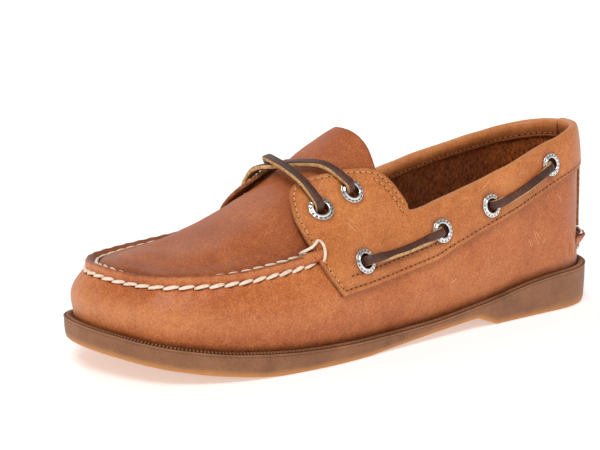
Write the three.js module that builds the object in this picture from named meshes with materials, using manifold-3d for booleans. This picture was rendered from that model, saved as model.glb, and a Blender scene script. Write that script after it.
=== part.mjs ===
// A left boat shoe of a hand-sewn moccasin make: a moulded rubber outsole, an insole, one hollow upper
// (vamp, plug and quarters), a tongue, a collar band with its eyestay on each side, a heel patch, twelve
// eyelets, and the leather lace where it shows.
//
// Millimetres, +Z up. The toe points to -X and the heel to +X. -Y is the lateral (outer) side of this
// left shoe. The floor is z = 0, and the origin is under the middle of the shoe.

import * as THREE from "three";
import { mergeVertices } from "three/addons/utils/BufferGeometryUtils.js";
import Module from "manifold-3d";

const wasm = await Module();
wasm.setup();

// ---------------------------------------------------------------- driving sizes

const GAP = 0.3; // between pieces that touch
const WALL = 2.0; // leather of the upper
const BAND = 1.7; // leather of the collar bands with their eyestays
const PATCH = 1.4; // leather of the heel patch
const TONGUE = 2.0; // leather of the tongue
const INSOLE = 3.5; // leather and cork of the insole
const WELT = 4.5; // how far the outsole's edge stands out past the foot of the upper
const TUCK = 1.2; // how far the upper's cut edges lie inside the edges of the bands
const FAR = 200; // longer than the shoe is wide or high, for solids that cut right through
const ENDS = { front: -150, back: 150 }; // beyond both ends of the shoe

// Radii of an eyelet, how far its flange is domed up to its crown and dips again to its lip, and how far
// its barrel stops short of the upper's inside.
const EYELET = { flange: 6.2, crown: 4.7, barrel: 4.1, hole: 3.1, rise: 1.1, lip: 0.66, short: 0.15 };
const EYELET_HOLE = { clearance: 0.25, half: 8 }; // round the barrel, and half the length of the cutter

// The lace's section, and how high over the form its middle runs between two eyelets.
const LACE = { width: 3.8, thickness: 2.1, lift: 4.4 };

// The two hand-sewn ridges: width, height over the form, and how deep they root in the leather.
const MOC_RIDGE = { width: 7.5, height: 3.2, sink: 1.2 };
const HEEL_RIDGE = { width: 5.5, height: 4.2, sink: 1.2 };

/** A table: the column names in one string, and a row of numbers for each station. */
function table(columns, rows) {
  const names = columns.split(" ");
  return rows.map((row) => Object.fromEntries(names.map((name, i) => [name, row[i]])));
}

// Sections round the last, from the middle of the heel to the tip of the toe. Each row serves both
// sides. A section's plane stands on the spine at `spine`, which lies `sway` to the medial side, and
// is turned by `ray` degrees from straight back. `lateral` and `medial` are the reach of the outsole's
// edge. The upper's foot is WELT inside that edge. It bulges by `swell` at `rise` above its foot, and
// its shoulder lies `lean` inside the foot at the height `shoulder`.
const SECTIONS = table("spine ray sway lateral medial swell rise lean shoulder", [
  [111, 0, 0, 35.5, 35.5, -1.2, 22, 3.0, 92],
  [111, 45, 0, 34.5, 35.0, -1.0, 22, 3.6, 90],
  [104, 90, 0, 36.0, 35.5, 0.4, 22, 4.8, 84],
  [70, 90, 0, 38.0, 34.5, 1.8, 22, 3.5, 76],
  [30, 90, 1, 42.0, 33.0, 2.6, 21, 4.5, 66],
  [-10, 90, 2.5, 48.0, 38.0, 3.0, 20, 9.0, 61],
  [-48, 90, 3.5, 54.0, 47.0, 3.0, 18, 5.5, 49.5],
  [-80, 93, 4, 54.0, 50.5, 2.6, 17, 7.5, 46],
  [-97, 122, 6, 51.5, 50.0, 1.6, 15, 8.5, 44.5],
  [-98, 152, 8, 49.5, 50.0, 0.4, 13, 9.5, 44.5],
  [-98, 180, 9, 50.0, 50.0, 0.2, 12, 10.0, 45.5],
]);

// The line over the top of the last.
const CROWN = table("x z", [
  [-110, 53.0],
  [-98, 56.5],
  [-72, 65.5],
  [-48, 77.5],
  [-24, 95.0],
  [-8, 103.0],
  [40, 118.0],
  [112, 128.0],
]);

// The outsole seen from the side: its ground line and the deck that the upper stands on.
const GROUND = table("x z", [
  [-150, 13.0],
  [-138, 10.0],
  [-124, 6.8],
  [-110, 4.1],
  [-96, 2.0],
  [-84, 0.5],
  [-76, 0],
  [-28, 0],
]);
const ARCH_AND_HEEL = [
  [-28, 0],
  [45, 5.0],
  [60, 0],
  [131, 0],
  [140, 1.4],
  [150, 4.6],
];
const DECK = table("x z", [
  [-150, 23.0],
  [-135, 19.2],
  [-120, 16.0],
  [-97, 12.4],
  [-60, 9.3],
  [-20, 8.2],
  [10, 8.6],
  [47, 12.0],
  [89, 18.2],
  [112, 20.0],
  [150, 20.6],
]);

// The topline from the throat corner to the middle of the heel, on each side.
const TOPLINE = {
  lateral: table("x z", [
    [9, 62.4],
    [26, 66.4],
    [50, 72.6],
    [78, 80.2],
    [104, 88.0],
    [130, 94.2],
    [145, 96.0],
  ]),
  medial: table("x z", [
    [9, 67.5],
    [26, 72.8],
    [50, 78.6],
    [78, 84.0],
    [104, 88.4],
    [130, 93.0],
    [145, 96.0],
  ]),
};

// The end of the eyestay behind its eyelets: from the slot over the tongue down to the throat corner.
const THROAT_SLOPE = table("x z", [
  [-10, 84],
  [-5.5, 80.5],
  [-2, 76.5],
  [2, 70.5],
  [5.5, 64.5],
]);

// The slot between the two eyestays, as half its width over the spine.
const SLOT = table("x half", [
  [-47, 14],
  [-45, 16.8],
  [-40, 19],
  [-32, 22.3],
  [-21, 24.5],
  [-9, 26.5],
  [-3, 28],
]);

// Front and lower edge of the collar band with its eyestay, seen from the side.
const BAND_EDGE = table("x z", [
  [-38, 86],
  [-46, 79.5],
  [-51, 75],
  [-55, 70],
  [-57, 64],
  [-57, 56.5],
  [-52.5, 43],
  [-45.5, 30.5],
  [-21, 32.5],
  [0, 35.3],
  [17, 38],
  [28, 41.4],
  [49, 47.6],
  [70, 53.6],
  [93, 61.2],
  [115, 68.5],
  [135, 73],
  [160, 75],
]);

// The tongue seen from the side.
const TONGUE_EDGE = table("x z", [
  [-58, 50],
  [-58, 90],
  [-24, 112],
  [-12, 103],
  [-8, 94],
  [-5, 84],
  [-3.5, 76],
  [-7, 68],
  [-16, 63],
]);

// Eyelets on each side, from the front of the eyestay to the heel, with about where each lies in u and v
// on the lateral side of the form.
const EYELETS = table("x z u v", [
  [-43, 66.2, 5.8, 0.64],
  [-25, 72.8, 5.4, 0.64],
  [-28.8, 43.2, 5.5, 0.42],
  [22.2, 51.0, 4.2, 0.42],
  [55.5, 59.6, 3.3, 0.42],
  [101, 75.6, 2.1, 0.45],
]);

// The two lengths of lace that cross over the tongue, between their eyelets.
const LACE_UNDER = table("x y lift", [
  [-30, -17, 4.6],
  [-37, -6, 3.0],
  [-41.5, 5, 3.0],
  [-44, 17, 5.0],
]);
const LACE_ABOVE = table("x y lift", [
  [-44, -18, 5.0],
  [-43.5, -7, 4.4],
  [-42, 5, 5.0],
  [-38, 16, 5.4],
  [-31, 24, 5.2],
]);

// How the lace leaves an eyelet: the distance along its way, and its height over the form.
const LEAVE = table("run rise", [
  [0, 0.4],
  [0.25, 2.4],
  [1.5, 4.7],
  [4.6, 5.3],
]);

// The outsole's side: how far inside its outline it lies at each height.
const SOLE_SIDE = table("z inside", [
  [-1, 1.6],
  [1.5, 0.6],
  [40, 0],
]);

const MOC_SEAM = { from: 6.3, height: 0.5 }; // in u and v on the form
const HEEL_SEAM = { turn: 1.25, z: 33 }; // half its run in u, and its height
const HEEL_PATCH = { half: 17.5, foot: 38.5, front: 110 };

// How finely the forms are divided.
const ROUND_STEPS = 3; // grid lines from one section to the next
const V_STEPS = [2, 3, 3, 2]; // grid lines in each span of the profile
const SKIRT = 14; // how far a form runs on below its foot
const LINE_STEP = 8; // between the points of a curve
const LONG_STEP = 12; // between the points of a nearly straight curve
const STEPS = { moc: 26, heel: 10, crossing: 17, eyelet: 9, barEvery: 8, barEnds: 8 };
const TINY = 1e-3; // a small move on the form, in u or v

// ---------------------------------------------------------------- curves

/** Catmull-Rom value at t, 0 to 1, between b and c. */
function blend(a, b, c, d, t) {
  const square = t * t;
  const cube = square * t;
  return 0.5 * (2 * b + (c - a) * t + (2 * a - 5 * b + 4 * c - d) * square + (3 * b - a - 3 * c + d) * cube);
}

/** The value of `column` in a table of rows that rise in x, smooth and without overshoot. */
function along(rows, column, x) {
  const last = rows.length - 1;
  const slope = (k) => (rows[k + 1][column] - rows[k][column]) / (rows[k + 1].x - rows[k].x);
  const tangent = (k) => {
    if (k === 0) return slope(0);
    if (k === last) return slope(last - 1);
    const product = slope(k - 1) * slope(k);
    return product <= 0 ? 0 : (2 * product) / (slope(k - 1) + slope(k));
  };
  if (x <= rows[0].x) return rows[0][column];
  if (x >= rows[last].x) return rows[last][column];
  const i = rows.findIndex((row, k) => k < last && x < rows[k + 1].x);
  const width = rows[i + 1].x - rows[i].x;
  const t = (x - rows[i].x) / width;
  const ease = t * t * (3 - 2 * t);
  const leave = t * (1 - t) * (1 - t) * tangent(i);
  const arrive = t * t * (1 - t) * tangent(i + 1);
  return rows[i][column] * (1 - ease) + rows[i + 1][column] * ease + (leave - arrive) * width;
}

/** The points of a table from x = from to x = to, about `step` apart. */
function line(rows, column, from, to, step = LINE_STEP) {
  const count = Math.max(1, Math.round(Math.abs(to - from) / step));
  return Array.from({ length: count + 1 }, (_, i) => {
    const x = from + ((to - from) * i) / count;
    return [x, along(rows, column, x)];
  });
}

// ---------------------------------------------------------------- the last

const TOE = SECTIONS.length - 1;
const ROUND = 2 * TOE; // a full turn: heel, lateral side, toe, medial side
const HAUNCH = { reach: 0.55, rise: 0.76 };
const SECTION_KEYS = ["spine", "ray", "sway", "reach", "swell", "rise", "lean", "shoulder"];

/** Row k of the sections, counted round the last; past TOE it is the medial side's. */
function row(k) {
  const index = ((k % ROUND) + ROUND) % ROUND;
  const medial = index > TOE;
  const source = SECTIONS[medial ? ROUND - index : index];
  const turned = Math.floor(k / ROUND) * 360;
  return {
    ...source,
    reach: medial ? source.medial : source.lateral,
    ray: turned + (medial ? 360 - source.ray : source.ray),
  };
}

/** The section at u: 0 is the middle of the heel, TOE the tip of the toe. */
function sectionAt(u) {
  const start = Math.floor(u);
  const rows = [row(start - 1), row(start), row(start + 1), row(start + 2)];
  const blended = (key) => blend(rows[0][key], rows[1][key], rows[2][key], rows[3][key], u - start);
  return Object.fromEntries(SECTION_KEYS.map((key) => [key, blended(key)]));
}

/** A point at `reach` from the spine in the section's plane. */
function place(section, reach, z) {
  const angle = THREE.MathUtils.degToRad(section.ray);
  return new THREE.Vector3(section.spine + reach * Math.cos(angle), section.sway - reach * Math.sin(angle), z);
}

/** How far the spine lies to the medial side at x. */
function spineY(x) {
  const rows = SECTIONS.map(({ spine, sway }) => ({ x: spine, y: sway })).reverse();
  return along(rows.filter((one, i) => i === 0 || one.x > rows[i - 1].x), "y", x);
}

/** How steeply the crown line climbs at x. */
function crownSlope(x) {
  return along(CROWN, "z", x + 0.5) - along(CROWN, "z", x - 0.5);
}

/** The upper's outer form. v runs from the foot, 0, over swell, shoulder and haunch to the crown, 1. */
function form(u, v) {
  const section = sectionAt(u);
  const foot = section.reach - WELT;
  const deck = along(DECK, "z", place(section, foot, 0).x);
  const crown = along(CROWN, "z", section.spine);
  const shoulder = foot - section.lean;
  const haunch = shoulder * HAUNCH.reach;
  const haunchZ = section.shoulder + (crown - section.shoulder) * HAUNCH.rise;
  const tilt = crownSlope(section.spine) * Math.cos(THREE.MathUtils.degToRad(section.ray));
  const profile = [
    [foot - section.swell, deck - section.rise],
    [foot, deck],
    [foot + section.swell, deck + section.rise],
    [shoulder, section.shoulder],
    [haunch, haunchZ],
    [0, crown],
    [-haunch, haunchZ - 2 * haunch * tilt],
  ];
  const spans = profile.length - 3;
  const k = Math.min(Math.floor(v * spans), spans - 1);
  const [reach, z] = [0, 1].map((axis) =>
    blend(profile[k][axis], profile[k + 1][axis], profile[k + 2][axis], profile[k + 3][axis], v * spans - k),
  );
  return place(section, reach, z);
}

/** The way out of the form at u, v. */
function outward(u, v) {
  if (v > 1 - TINY) {
    return new THREE.Vector3(-crownSlope(sectionAt(u).spine), 0, 1).normalize();
  }
  const low = Math.max(v - TINY, 0);
  const round = form(u + TINY, v).sub(form(u - TINY, v));
  const up = form(u, v + TINY).sub(form(u, low));
  return up.cross(round).normalize();
}

/** A point of the form moved `out` along its normal. */
function offset(u, v, out) {
  return form(u, v).addScaledVector(outward(u, v), out);
}

const SEARCH = { turns: 40, farthestU: 0.5, farthestV: 0.1 };

/** Where the form passes `first` on one axis and `second` on another, from a guess: its u and v. */
function search(axes, first, second, guess, limits) {
  const { clamp } = THREE.MathUtils;
  const [p, q] = axes;
  const delta = TINY / 10;
  let { u, v } = guess;
  for (let turn = 0; turn < SEARCH.turns; turn++) {
    const here = form(u, v);
    const du = form(u + delta, v).sub(here).divideScalar(delta);
    const dv = form(u, v - delta).sub(here).divideScalar(-delta);
    const missP = first - here[p];
    const missQ = second - here[q];
    const area = du[p] * dv[q] - dv[p] * du[q];
    const moveU = (missP * dv[q] - dv[p] * missQ) / area;
    const moveV = (du[p] * missQ - missP * du[q]) / area;
    u += clamp(moveU, -SEARCH.farthestU, SEARCH.farthestU);
    v = clamp(v + clamp(moveV, -SEARCH.farthestV, SEARCH.farthestV), limits.low, limits.high);
  }
  return { u, v };
}

/** Where the form passes x and z on one side: its u and v. */
function locate(x, z, side, guess) {
  const u = side === "lateral" ? guess.u : ROUND - guess.u;
  return search(["x", "z"], x, z, { u, v: guess.v }, { low: 0.01, high: 0.97 });
}

const OVER_GUESS = { u: 5.5, v: 0.8 }; // about where the laces cross

/** The point that lies `out` over the form at x, y, on top of the forepart. */
function over(x, y, out) {
  const u = y < spineY(x) ? OVER_GUESS.u : ROUND - OVER_GUESS.u;
  const found = search(["x", "y"], x, y, { u, v: OVER_GUESS.v }, { low: 0.4, high: 1 });
  return offset(found.u, found.v, out);
}

// ---------------------------------------------------------------- solids

/** A closed solid from a geometry's triangles. */
function solid(geometry) {
  const bare = geometry.clone();
  bare.deleteAttribute("normal");
  bare.deleteAttribute("uv");
  const merged = mergeVertices(bare, 1e-4);
  const vertProperties = new Float32Array(merged.attributes.position.array);
  const triVerts = new Uint32Array(merged.index.array);
  return new wasm.Manifold(new wasm.Mesh({ numProp: 3, vertProperties, triVerts }));
}

/** A closed solid between rings of points. Each end is a fan round the middle of its ring. */
function skin(rings) {
  const positions = [];
  const triangle = (...corners) => corners.forEach((corner) => positions.push(corner.x, corner.y, corner.z));
  const count = rings[0].length;
  const middle = (ring) => ring.reduce((sum, p) => sum.add(p), new THREE.Vector3()).divideScalar(count);
  const first = middle(rings[0]);
  const last = middle(rings[rings.length - 1]);
  for (let i = 0; i < count; i++) {
    const j = (i + 1) % count;
    triangle(first, rings[0][j], rings[0][i]);
    triangle(last, rings[rings.length - 1][i], rings[rings.length - 1][j]);
    for (let r = 0; r + 1 < rings.length; r++) {
      triangle(rings[r][i], rings[r][j], rings[r + 1][j]);
      triangle(rings[r][i], rings[r + 1][j], rings[r + 1][i]);
    }
  }
  const geometry = new THREE.BufferGeometry();
  geometry.setAttribute("position", new THREE.Float32BufferAttribute(positions, 3));
  return solid(geometry);
}

/** An outline in the X-Z plane carried across from y = near to y = far. */
function sidePrism(points, near = -FAR, far = FAR) {
  const shape = new THREE.Shape(points.map(([x, z]) => new THREE.Vector2(x, z)));
  const geometry = new THREE.ExtrudeGeometry(shape, { depth: far - near, bevelEnabled: false });
  geometry.rotateX(Math.PI / 2).translate(0, far, 0);
  return solid(geometry);
}

/** An outline in the X-Y plane carried up from z = 0. */
function planPrism(points) {
  const shape = new THREE.Shape(points.map(([x, y]) => new THREE.Vector2(x, y)));
  return solid(new THREE.ExtrudeGeometry(shape, { depth: FAR, bevelEnabled: false }));
}

/** The values of v that carry the grid. */
function gridV() {
  const spans = V_STEPS.length;
  const within = (count, k) => Array.from({ length: count }, (_, i) => (k + i / count) / spans);
  return [...V_STEPS.flatMap(within), 1];
}

/** A closed solid of rings that run round the last; its two ends are bridged from side to side. */
function loft(rings) {
  const positions = [];
  const triangle = (a, b, c) => {
    const thin = a.distanceTo(b) < 1e-4 || b.distanceTo(c) < 1e-4 || c.distanceTo(a) < 1e-4;
    if (!thin) [a, b, c].forEach((corner) => positions.push(corner.x, corner.y, corner.z));
  };
  const quad = (a, b, c, d) => {
    triangle(a, b, c);
    triangle(a, c, d);
  };
  const count = rings[0].length;
  const low = rings[0];
  const high = rings[rings.length - 1];
  const open = high[1].distanceTo(high[count - 1]) > 1e-3;
  for (let i = 0; i < count; i++) {
    const j = (i + 1) % count;
    for (let r = 0; r + 1 < rings.length; r++) {
      quad(rings[r][i], rings[r + 1][i], rings[r + 1][j], rings[r][j]);
    }
  }
  for (let i = 0; i < count / 2; i++) {
    const across = (count - i) % count;
    const beside = count - i - 1;
    quad(low[i], low[i + 1], low[beside], low[across]);
    if (open) quad(high[i], high[across], high[beside], high[i + 1]);
  }
  const geometry = new THREE.BufferGeometry();
  geometry.setAttribute("position", new THREE.Float32BufferAttribute(positions, 3));
  return solid(geometry);
}

const GRID_U = Array.from({ length: ROUND * ROUND_STEPS }, (_, i) => i / ROUND_STEPS);

/** The form as one closed solid, grown by `out`, with a skirt below its foot. */
function grown(out) {
  const rings = gridV().map((v) => GRID_U.map((u) => offset(u, v, out)));
  const skirt = rings[0].map((p) => new THREE.Vector3(p.x, p.y, p.z - SKIRT));
  return loft([skirt, ...rings]);
}

/** Leather from `from` to `to` outside the form. */
function leather(from, to) {
  return grown(to).subtract(grown(from));
}

// A ridge's section: how far each corner lies to the side as a share of its width, and how high as a
// share of its height. A corner with no height is its root.
const RIDGE_CORNERS = table("side share", [
  [0.5, 0],
  [0.36, 0.62],
  [0, 1],
  [-0.36, 0.62],
  [-0.5, 0],
]);
const RIDGE_END = { height: 0.45, steps: 3 }; // a ridge starts this high, and is full after these steps

/** A ridge along the form from u = from to u = to, at the v that `heightOf` gives. */
function rail(from, to, heightOf, size, steps) {
  const rings = [];
  for (let i = 0; i <= steps; i++) {
    const u = from + ((to - from) * i) / steps;
    const v = heightOf(u);
    const normal = outward(u, v);
    const run = form(u + TINY, v).sub(form(u - TINY, v)).normalize();
    const across = new THREE.Vector3().crossVectors(normal, run).normalize();
    const fade = Math.min(1, Math.min(i, steps - i) / RIDGE_END.steps + RIDGE_END.height);
    const ring = RIDGE_CORNERS.map(({ side, share }) => {
      const rise = share > 0 ? share * size.height * fade : -size.sink;
      return form(u, v).addScaledVector(across, side * size.width).addScaledVector(normal, rise);
    });
    rings.push(ring);
  }
  return skin(rings);
}

/** A solid turned on its own Z axis by a profile of [radius, height], then set up at a point. */
function turned(profile, at, axis) {
  const points = profile.map(([radius, height]) => new THREE.Vector2(radius, height));
  const geometry = new THREE.LatheGeometry([...points, points[0]], STEPS.eyelet);
  geometry.rotateX(Math.PI / 2);
  const turn = new THREE.Quaternion().setFromUnitVectors(new THREE.Vector3(0, 0, 1), axis);
  geometry.applyQuaternion(turn).translate(at.x, at.y, at.z);
  return solid(geometry);
}

// ---------------------------------------------------------------- cutters

/** Everything below the deck, raised by `lift`. */
function belowDeck(lift) {
  const edge = line(DECK, "z", ENDS.front, ENDS.back, LONG_STEP).map(([x, z]) => [x, z + lift]);
  return sidePrism([[ENDS.front, -FAR], [ENDS.back, -FAR], ...edge.reverse()]);
}

/** What is open above the shoe: collar, throat slope and the slot over the tongue, wider by `inset`. */
function opening(inset) {
  const sides = [
    { rows: TOPLINE.lateral, near: -FAR, far: TINY },
    { rows: TOPLINE.medial, near: 0, far: FAR },
  ];
  const collars = sides.map(({ rows, near, far }) => {
    const slope = THROAT_SLOPE.map(({ x, z }) => [x - inset, z - inset]);
    const topline = line(rows, "z", rows[0].x - inset, rows[rows.length - 1].x, LONG_STEP);
    return sidePrism([[slope[0][0], FAR], ...slope, ...topline, [FAR, FAR]].reverse(), near, far);
  });
  const edge = (side) => SLOT.map(({ x, half }) => [x - inset, spineY(x) + side * (half + inset)]);
  const slot = planPrism([...edge(-1), ...edge(1).reverse()]);
  return collars[0].add(collars[1]).add(slot);
}

const SIDES = ["lateral", "medial"];

// Where every eyelet sits on the form, and which way it faces.
const SEATS = SIDES.flatMap((side) =>
  EYELETS.map(({ x, z, ...guess }, i) => {
    const { u, v } = locate(x, z, side, guess);
    return { side, number: i + 1, u, v, at: form(u, v), axis: outward(u, v) };
  }),
);

/** A drill through band and upper at one eyelet. */
function drill({ at, axis }) {
  const radius = EYELET.barrel + EYELET_HOLE.clearance;
  const { half } = EYELET_HOLE;
  return turned([[0, -half], [radius, -half], [radius, half], [0, half]], at, axis);
}

const HOLES = SEATS.map(drill).reduce((all, one) => all.add(one));

// ---------------------------------------------------------------- the pieces

/** The moulded outsole: edge outline, flat tread and heel, arch, toe spring, and the welt round the top. */
function makeOutsole() {
  const rings = SOLE_SIDE.map(({ z, inside }) =>
    GRID_U.map((u) => {
      const section = sectionAt(u);
      return place(section, section.reach - inside, z);
    }),
  );
  const toeSpring = line(GROUND, "z", ENDS.front, GROUND[GROUND.length - 2].x);
  const deck = line(DECK, "z", ENDS.front, ENDS.back, LONG_STEP).reverse();
  return loft(rings).intersect(sidePrism([...toeSpring, ...ARCH_AND_HEEL, ...deck]));
}

/** The insole, on the deck inside the upper. */
function makeInsole() {
  const inside = grown(-WALL - GAP).subtract(belowDeck(GAP));
  return inside.intersect(belowDeck(GAP + INSOLE));
}

/** The place of v where the form passes z at u. */
function heightOn(u, z) {
  let low = 0;
  let high = 0.5;
  for (let turn = 0; turn < SEARCH.turns; turn++) {
    const middle = (low + high) / 2;
    if (form(u, middle).z < z) low = middle;
    else high = middle;
  }
  return low;
}

/** Vamp, plug and quarters in one hollow solid, with the two hand-sewn ridges. */
function makeUpper() {
  const moc = rail(MOC_SEAM.from, ROUND - MOC_SEAM.from, () => MOC_SEAM.height, MOC_RIDGE, STEPS.moc);
  const heel = rail(-HEEL_SEAM.turn, HEEL_SEAM.turn, (u) => heightOn(u, HEEL_SEAM.z), HEEL_RIDGE, STEPS.heel);
  const shell = leather(-WALL, 0).add(moc).add(heel);
  return shell.subtract(belowDeck(GAP)).subtract(opening(TUCK)).subtract(HOLES);
}

/** The tongue, sewn in under the end of the plug. */
function makeTongue() {
  const under = -WALL - GAP;
  return leather(under - TONGUE, under).intersect(sidePrism(TONGUE_EDGE.map(({ x, z }) => [x, z]).reverse()));
}

/** One collar band with its eyestay. */
function makeBand(side) {
  const [near, far] = side === "lateral" ? [-FAR, -GAP / 2] : [GAP / 2, FAR];
  const edge = BAND_EDGE.map(({ x, z }) => [x, z]);
  const outline = sidePrism([...edge, [BAND_EDGE.at(-1).x, FAR], [BAND_EDGE[0].x, FAR]], near, far);
  return leather(GAP, GAP + BAND).intersect(outline).subtract(opening(0)).subtract(HOLES);
}

/** The patch over the back seam, between the heel ridge and the collar bands. */
function makePatch() {
  const { half, foot, front } = HEEL_PATCH;
  const top = BAND_EDGE.filter(({ x }) => x >= front).map(({ x, z }) => [x, z - GAP]);
  const outline = sidePrism([[front, foot], [top[top.length - 1][0], foot], ...top.reverse()], -half, half);
  return leather(GAP, GAP + PATCH).intersect(outline);
}

/** One eyelet: a barrel through band and upper under a domed flange. */
function makeEyelet({ at, axis }) {
  const foot = GAP + BAND + EYELET_HOLE.clearance;
  const inner = EYELET.short - WALL;
  const profile = [
    [EYELET.hole, inner],
    [EYELET.barrel, inner],
    [EYELET.barrel, foot],
    [EYELET.flange, foot],
    [EYELET.crown, foot + EYELET.rise],
    [EYELET.hole, foot + EYELET.lip],
  ];
  return turned(profile, at, axis);
}

// The lace's section: corners as shares of half its width and half its thickness.
const LACE_CORNERS = [[-0.55, -1], [0.55, -1], [1, 0], [0.55, 1], [-0.55, 1], [-1, 0]];

/** A flat lace along points, lying on the surface whose normals are given. */
function strap(points, normals, samples) {
  const route = new THREE.CatmullRomCurve3(points, false, "centripetal");
  const lie = new THREE.CatmullRomCurve3(normals, false, "centripetal");
  const rings = [];
  for (let i = 0; i <= samples; i++) {
    const t = i / samples;
    const at = route.getPoint(t);
    const run = route.getTangent(t);
    const across = new THREE.Vector3().crossVectors(lie.getPoint(t), run).normalize();
    const rise = new THREE.Vector3().crossVectors(run, across).normalize();
    const half = LACE.width / 2;
    const flat = LACE.thickness / 2;
    rings.push(
      LACE_CORNERS.map(([side, up]) =>
        at.clone().addScaledVector(across, side * half).addScaledVector(rise, up * flat),
      ),
    );
  }
  return skin(rings);
}

/** The points by which the lace leaves an eyelet on its way. */
function leaving(seat, way) {
  const step = ({ run, rise }) => seat.at.clone().addScaledVector(way, run).addScaledVector(seat.axis, rise);
  return LEAVE.map(step);
}

const BAR_MIDDLES = [0.35, 0.65]; // where a bar is held down on the collar, as shares of its way

/** The lace from one eyelet to the next along the collar. */
function makeBar(from, to) {
  const way = new THREE.Vector3().subVectors(to.at, from.at);
  const length = way.length();
  way.normalize();
  const middles = BAR_MIDDLES.map((t) => {
    const u = THREE.MathUtils.lerp(from.u, to.u, t);
    const v = THREE.MathUtils.lerp(from.v, to.v, t);
    return offset(u, v, LACE.lift);
  });
  const points = [...leaving(from, way), ...middles, ...leaving(to, way.clone().negate()).reverse()];
  const normals = points.map((_, i) => from.axis.clone().lerp(to.axis, i / (points.length - 1)));
  return strap(points, normals, Math.round(length / STEPS.barEvery) + STEPS.barEnds);
}

/** One lace from an eyelet over the tongue, along a route, to an eyelet of the other side. */
function makeCrossing(from, to, route) {
  const knots = route.map(({ x, y, lift }) => over(x, y, lift));
  const leaves = (seat, towards) => {
    const way = new THREE.Vector3().subVectors(towards, seat.at).projectOnPlane(seat.axis).normalize();
    return leaving(seat, way);
  };
  const points = [...leaves(from, knots[0]), ...knots, ...leaves(to, knots[knots.length - 1]).reverse()];
  const normals = points.map((_, i) => from.axis.clone().lerp(to.axis, i / (points.length - 1)).normalize());
  return strap(points, normals, STEPS.crossing);
}

/** The crossing lace over the tongue: two lengths, joined where one lies on the other. */
function makeCross() {
  const seat = (side, number) => SEATS.find((one) => one.side === side && one.number === number);
  const under = makeCrossing(seat("lateral", 2), seat("medial", 1), LACE_UNDER);
  const above = makeCrossing(seat("lateral", 1), seat("medial", 2), LACE_ABOVE);
  return under.add(above);
}

// ---------------------------------------------------------------- the shoe

const LEATHER = { color: 0xb9693e, roughness: 0.55, metalness: 0 };
const LIGHT_LEATHER = { color: 0xc27640, roughness: 0.5, metalness: 0 };
const RUBBER = { color: 0x7a5a48, roughness: 0.6, metalness: 0 };
const SUEDE = { color: 0x5a3018, roughness: 0.9, metalness: 0 };
const STEEL = { color: 0xc9c9c9, roughness: 0.3, metalness: 1 };
const RAWHIDE = { color: 0x4f3028, roughness: 0.6, metalness: 0 };

const shoe = new THREE.Group();

/** Adds a solid to the shoe as a named mesh. */
function addPiece(name, made, finish) {
  const { vertProperties, triVerts } = made.getMesh();
  const geometry = new THREE.BufferGeometry();
  geometry.setAttribute("position", new THREE.Float32BufferAttribute(vertProperties, 3));
  geometry.setIndex(new THREE.BufferAttribute(new Uint32Array(triVerts), 1));
  geometry.computeVertexNormals();
  const mesh = new THREE.Mesh(geometry, new THREE.MeshStandardMaterial(finish));
  mesh.name = name;
  shoe.add(mesh);
}

addPiece("outsole", makeOutsole(), RUBBER);
addPiece("insole", makeInsole(), SUEDE);
addPiece("upper", makeUpper(), LEATHER);
addPiece("tongue", makeTongue(), LEATHER);
addPiece("collar_band_lateral", makeBand("lateral"), LIGHT_LEATHER);
addPiece("collar_band_medial", makeBand("medial"), LIGHT_LEATHER);
addPiece("heel_patch", makePatch(), LIGHT_LEATHER);
SEATS.forEach((seat) => addPiece("eyelet_" + seat.side + "_" + seat.number, makeEyelet(seat), STEEL));
addPiece("lace_cross", makeCross(), RAWHIDE);
SIDES.forEach((side) => {
  const seats = SEATS.filter((seat) => seat.side === side);
  addPiece("lace_bar_" + side + "_front", makeBar(seats[2], seats[3]), RAWHIDE);
  addPiece("lace_bar_" + side + "_rear", makeBar(seats[4], seats[5]), RAWHIDE);
});

const box = new THREE.Box3().setFromObject(shoe);
shoe.position.set(-(box.min.x + box.max.x) / 2, -(box.min.y + box.max.y) / 2, -box.min.z);

export default shoe;
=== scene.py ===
"""The looks of a left boat shoe of hand-sewn moccasin make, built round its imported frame.

Sizes are in millimetres on the last, +Z up, the toe to -X and the heel to +X, and -Y is the lateral side.
Last.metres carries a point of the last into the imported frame.

A place on the leather is given by u and v. u runs round the last: 0 is the middle of the heel, 10 the tip
of the toe by way of the lateral side, and 20 the heel again by way of the medial side. v runs up it: 0 is
the foot of the upper and 1 the line over the top.
"""

import logging
import math
from dataclasses import dataclass, field
from enum import Enum
from typing import Callable, Iterable, Sequence

import bpy
import numpy as np
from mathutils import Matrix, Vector, geometry, kdtree


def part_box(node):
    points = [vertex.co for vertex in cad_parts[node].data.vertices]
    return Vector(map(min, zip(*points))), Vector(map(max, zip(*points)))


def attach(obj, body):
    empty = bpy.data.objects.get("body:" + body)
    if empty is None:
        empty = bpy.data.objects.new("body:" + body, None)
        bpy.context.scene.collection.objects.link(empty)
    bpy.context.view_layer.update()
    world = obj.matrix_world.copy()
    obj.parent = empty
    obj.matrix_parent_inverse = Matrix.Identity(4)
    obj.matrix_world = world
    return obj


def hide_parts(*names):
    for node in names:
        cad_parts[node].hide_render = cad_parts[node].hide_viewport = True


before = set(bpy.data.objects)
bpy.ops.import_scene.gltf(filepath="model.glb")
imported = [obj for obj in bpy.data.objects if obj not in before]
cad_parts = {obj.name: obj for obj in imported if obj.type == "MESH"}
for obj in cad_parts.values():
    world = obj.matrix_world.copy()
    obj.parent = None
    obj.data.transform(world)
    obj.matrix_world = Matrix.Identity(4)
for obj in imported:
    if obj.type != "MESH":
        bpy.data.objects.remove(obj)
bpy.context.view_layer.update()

LOG = logging.getLogger("boat_shoe")
Array = np.ndarray
Material = bpy.types.Material
Faces = list[tuple[int, ...]]


class Side(Enum):
    """A side of the shoe."""

    LATERAL = "lateral"
    MEDIAL = "medial"


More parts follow.
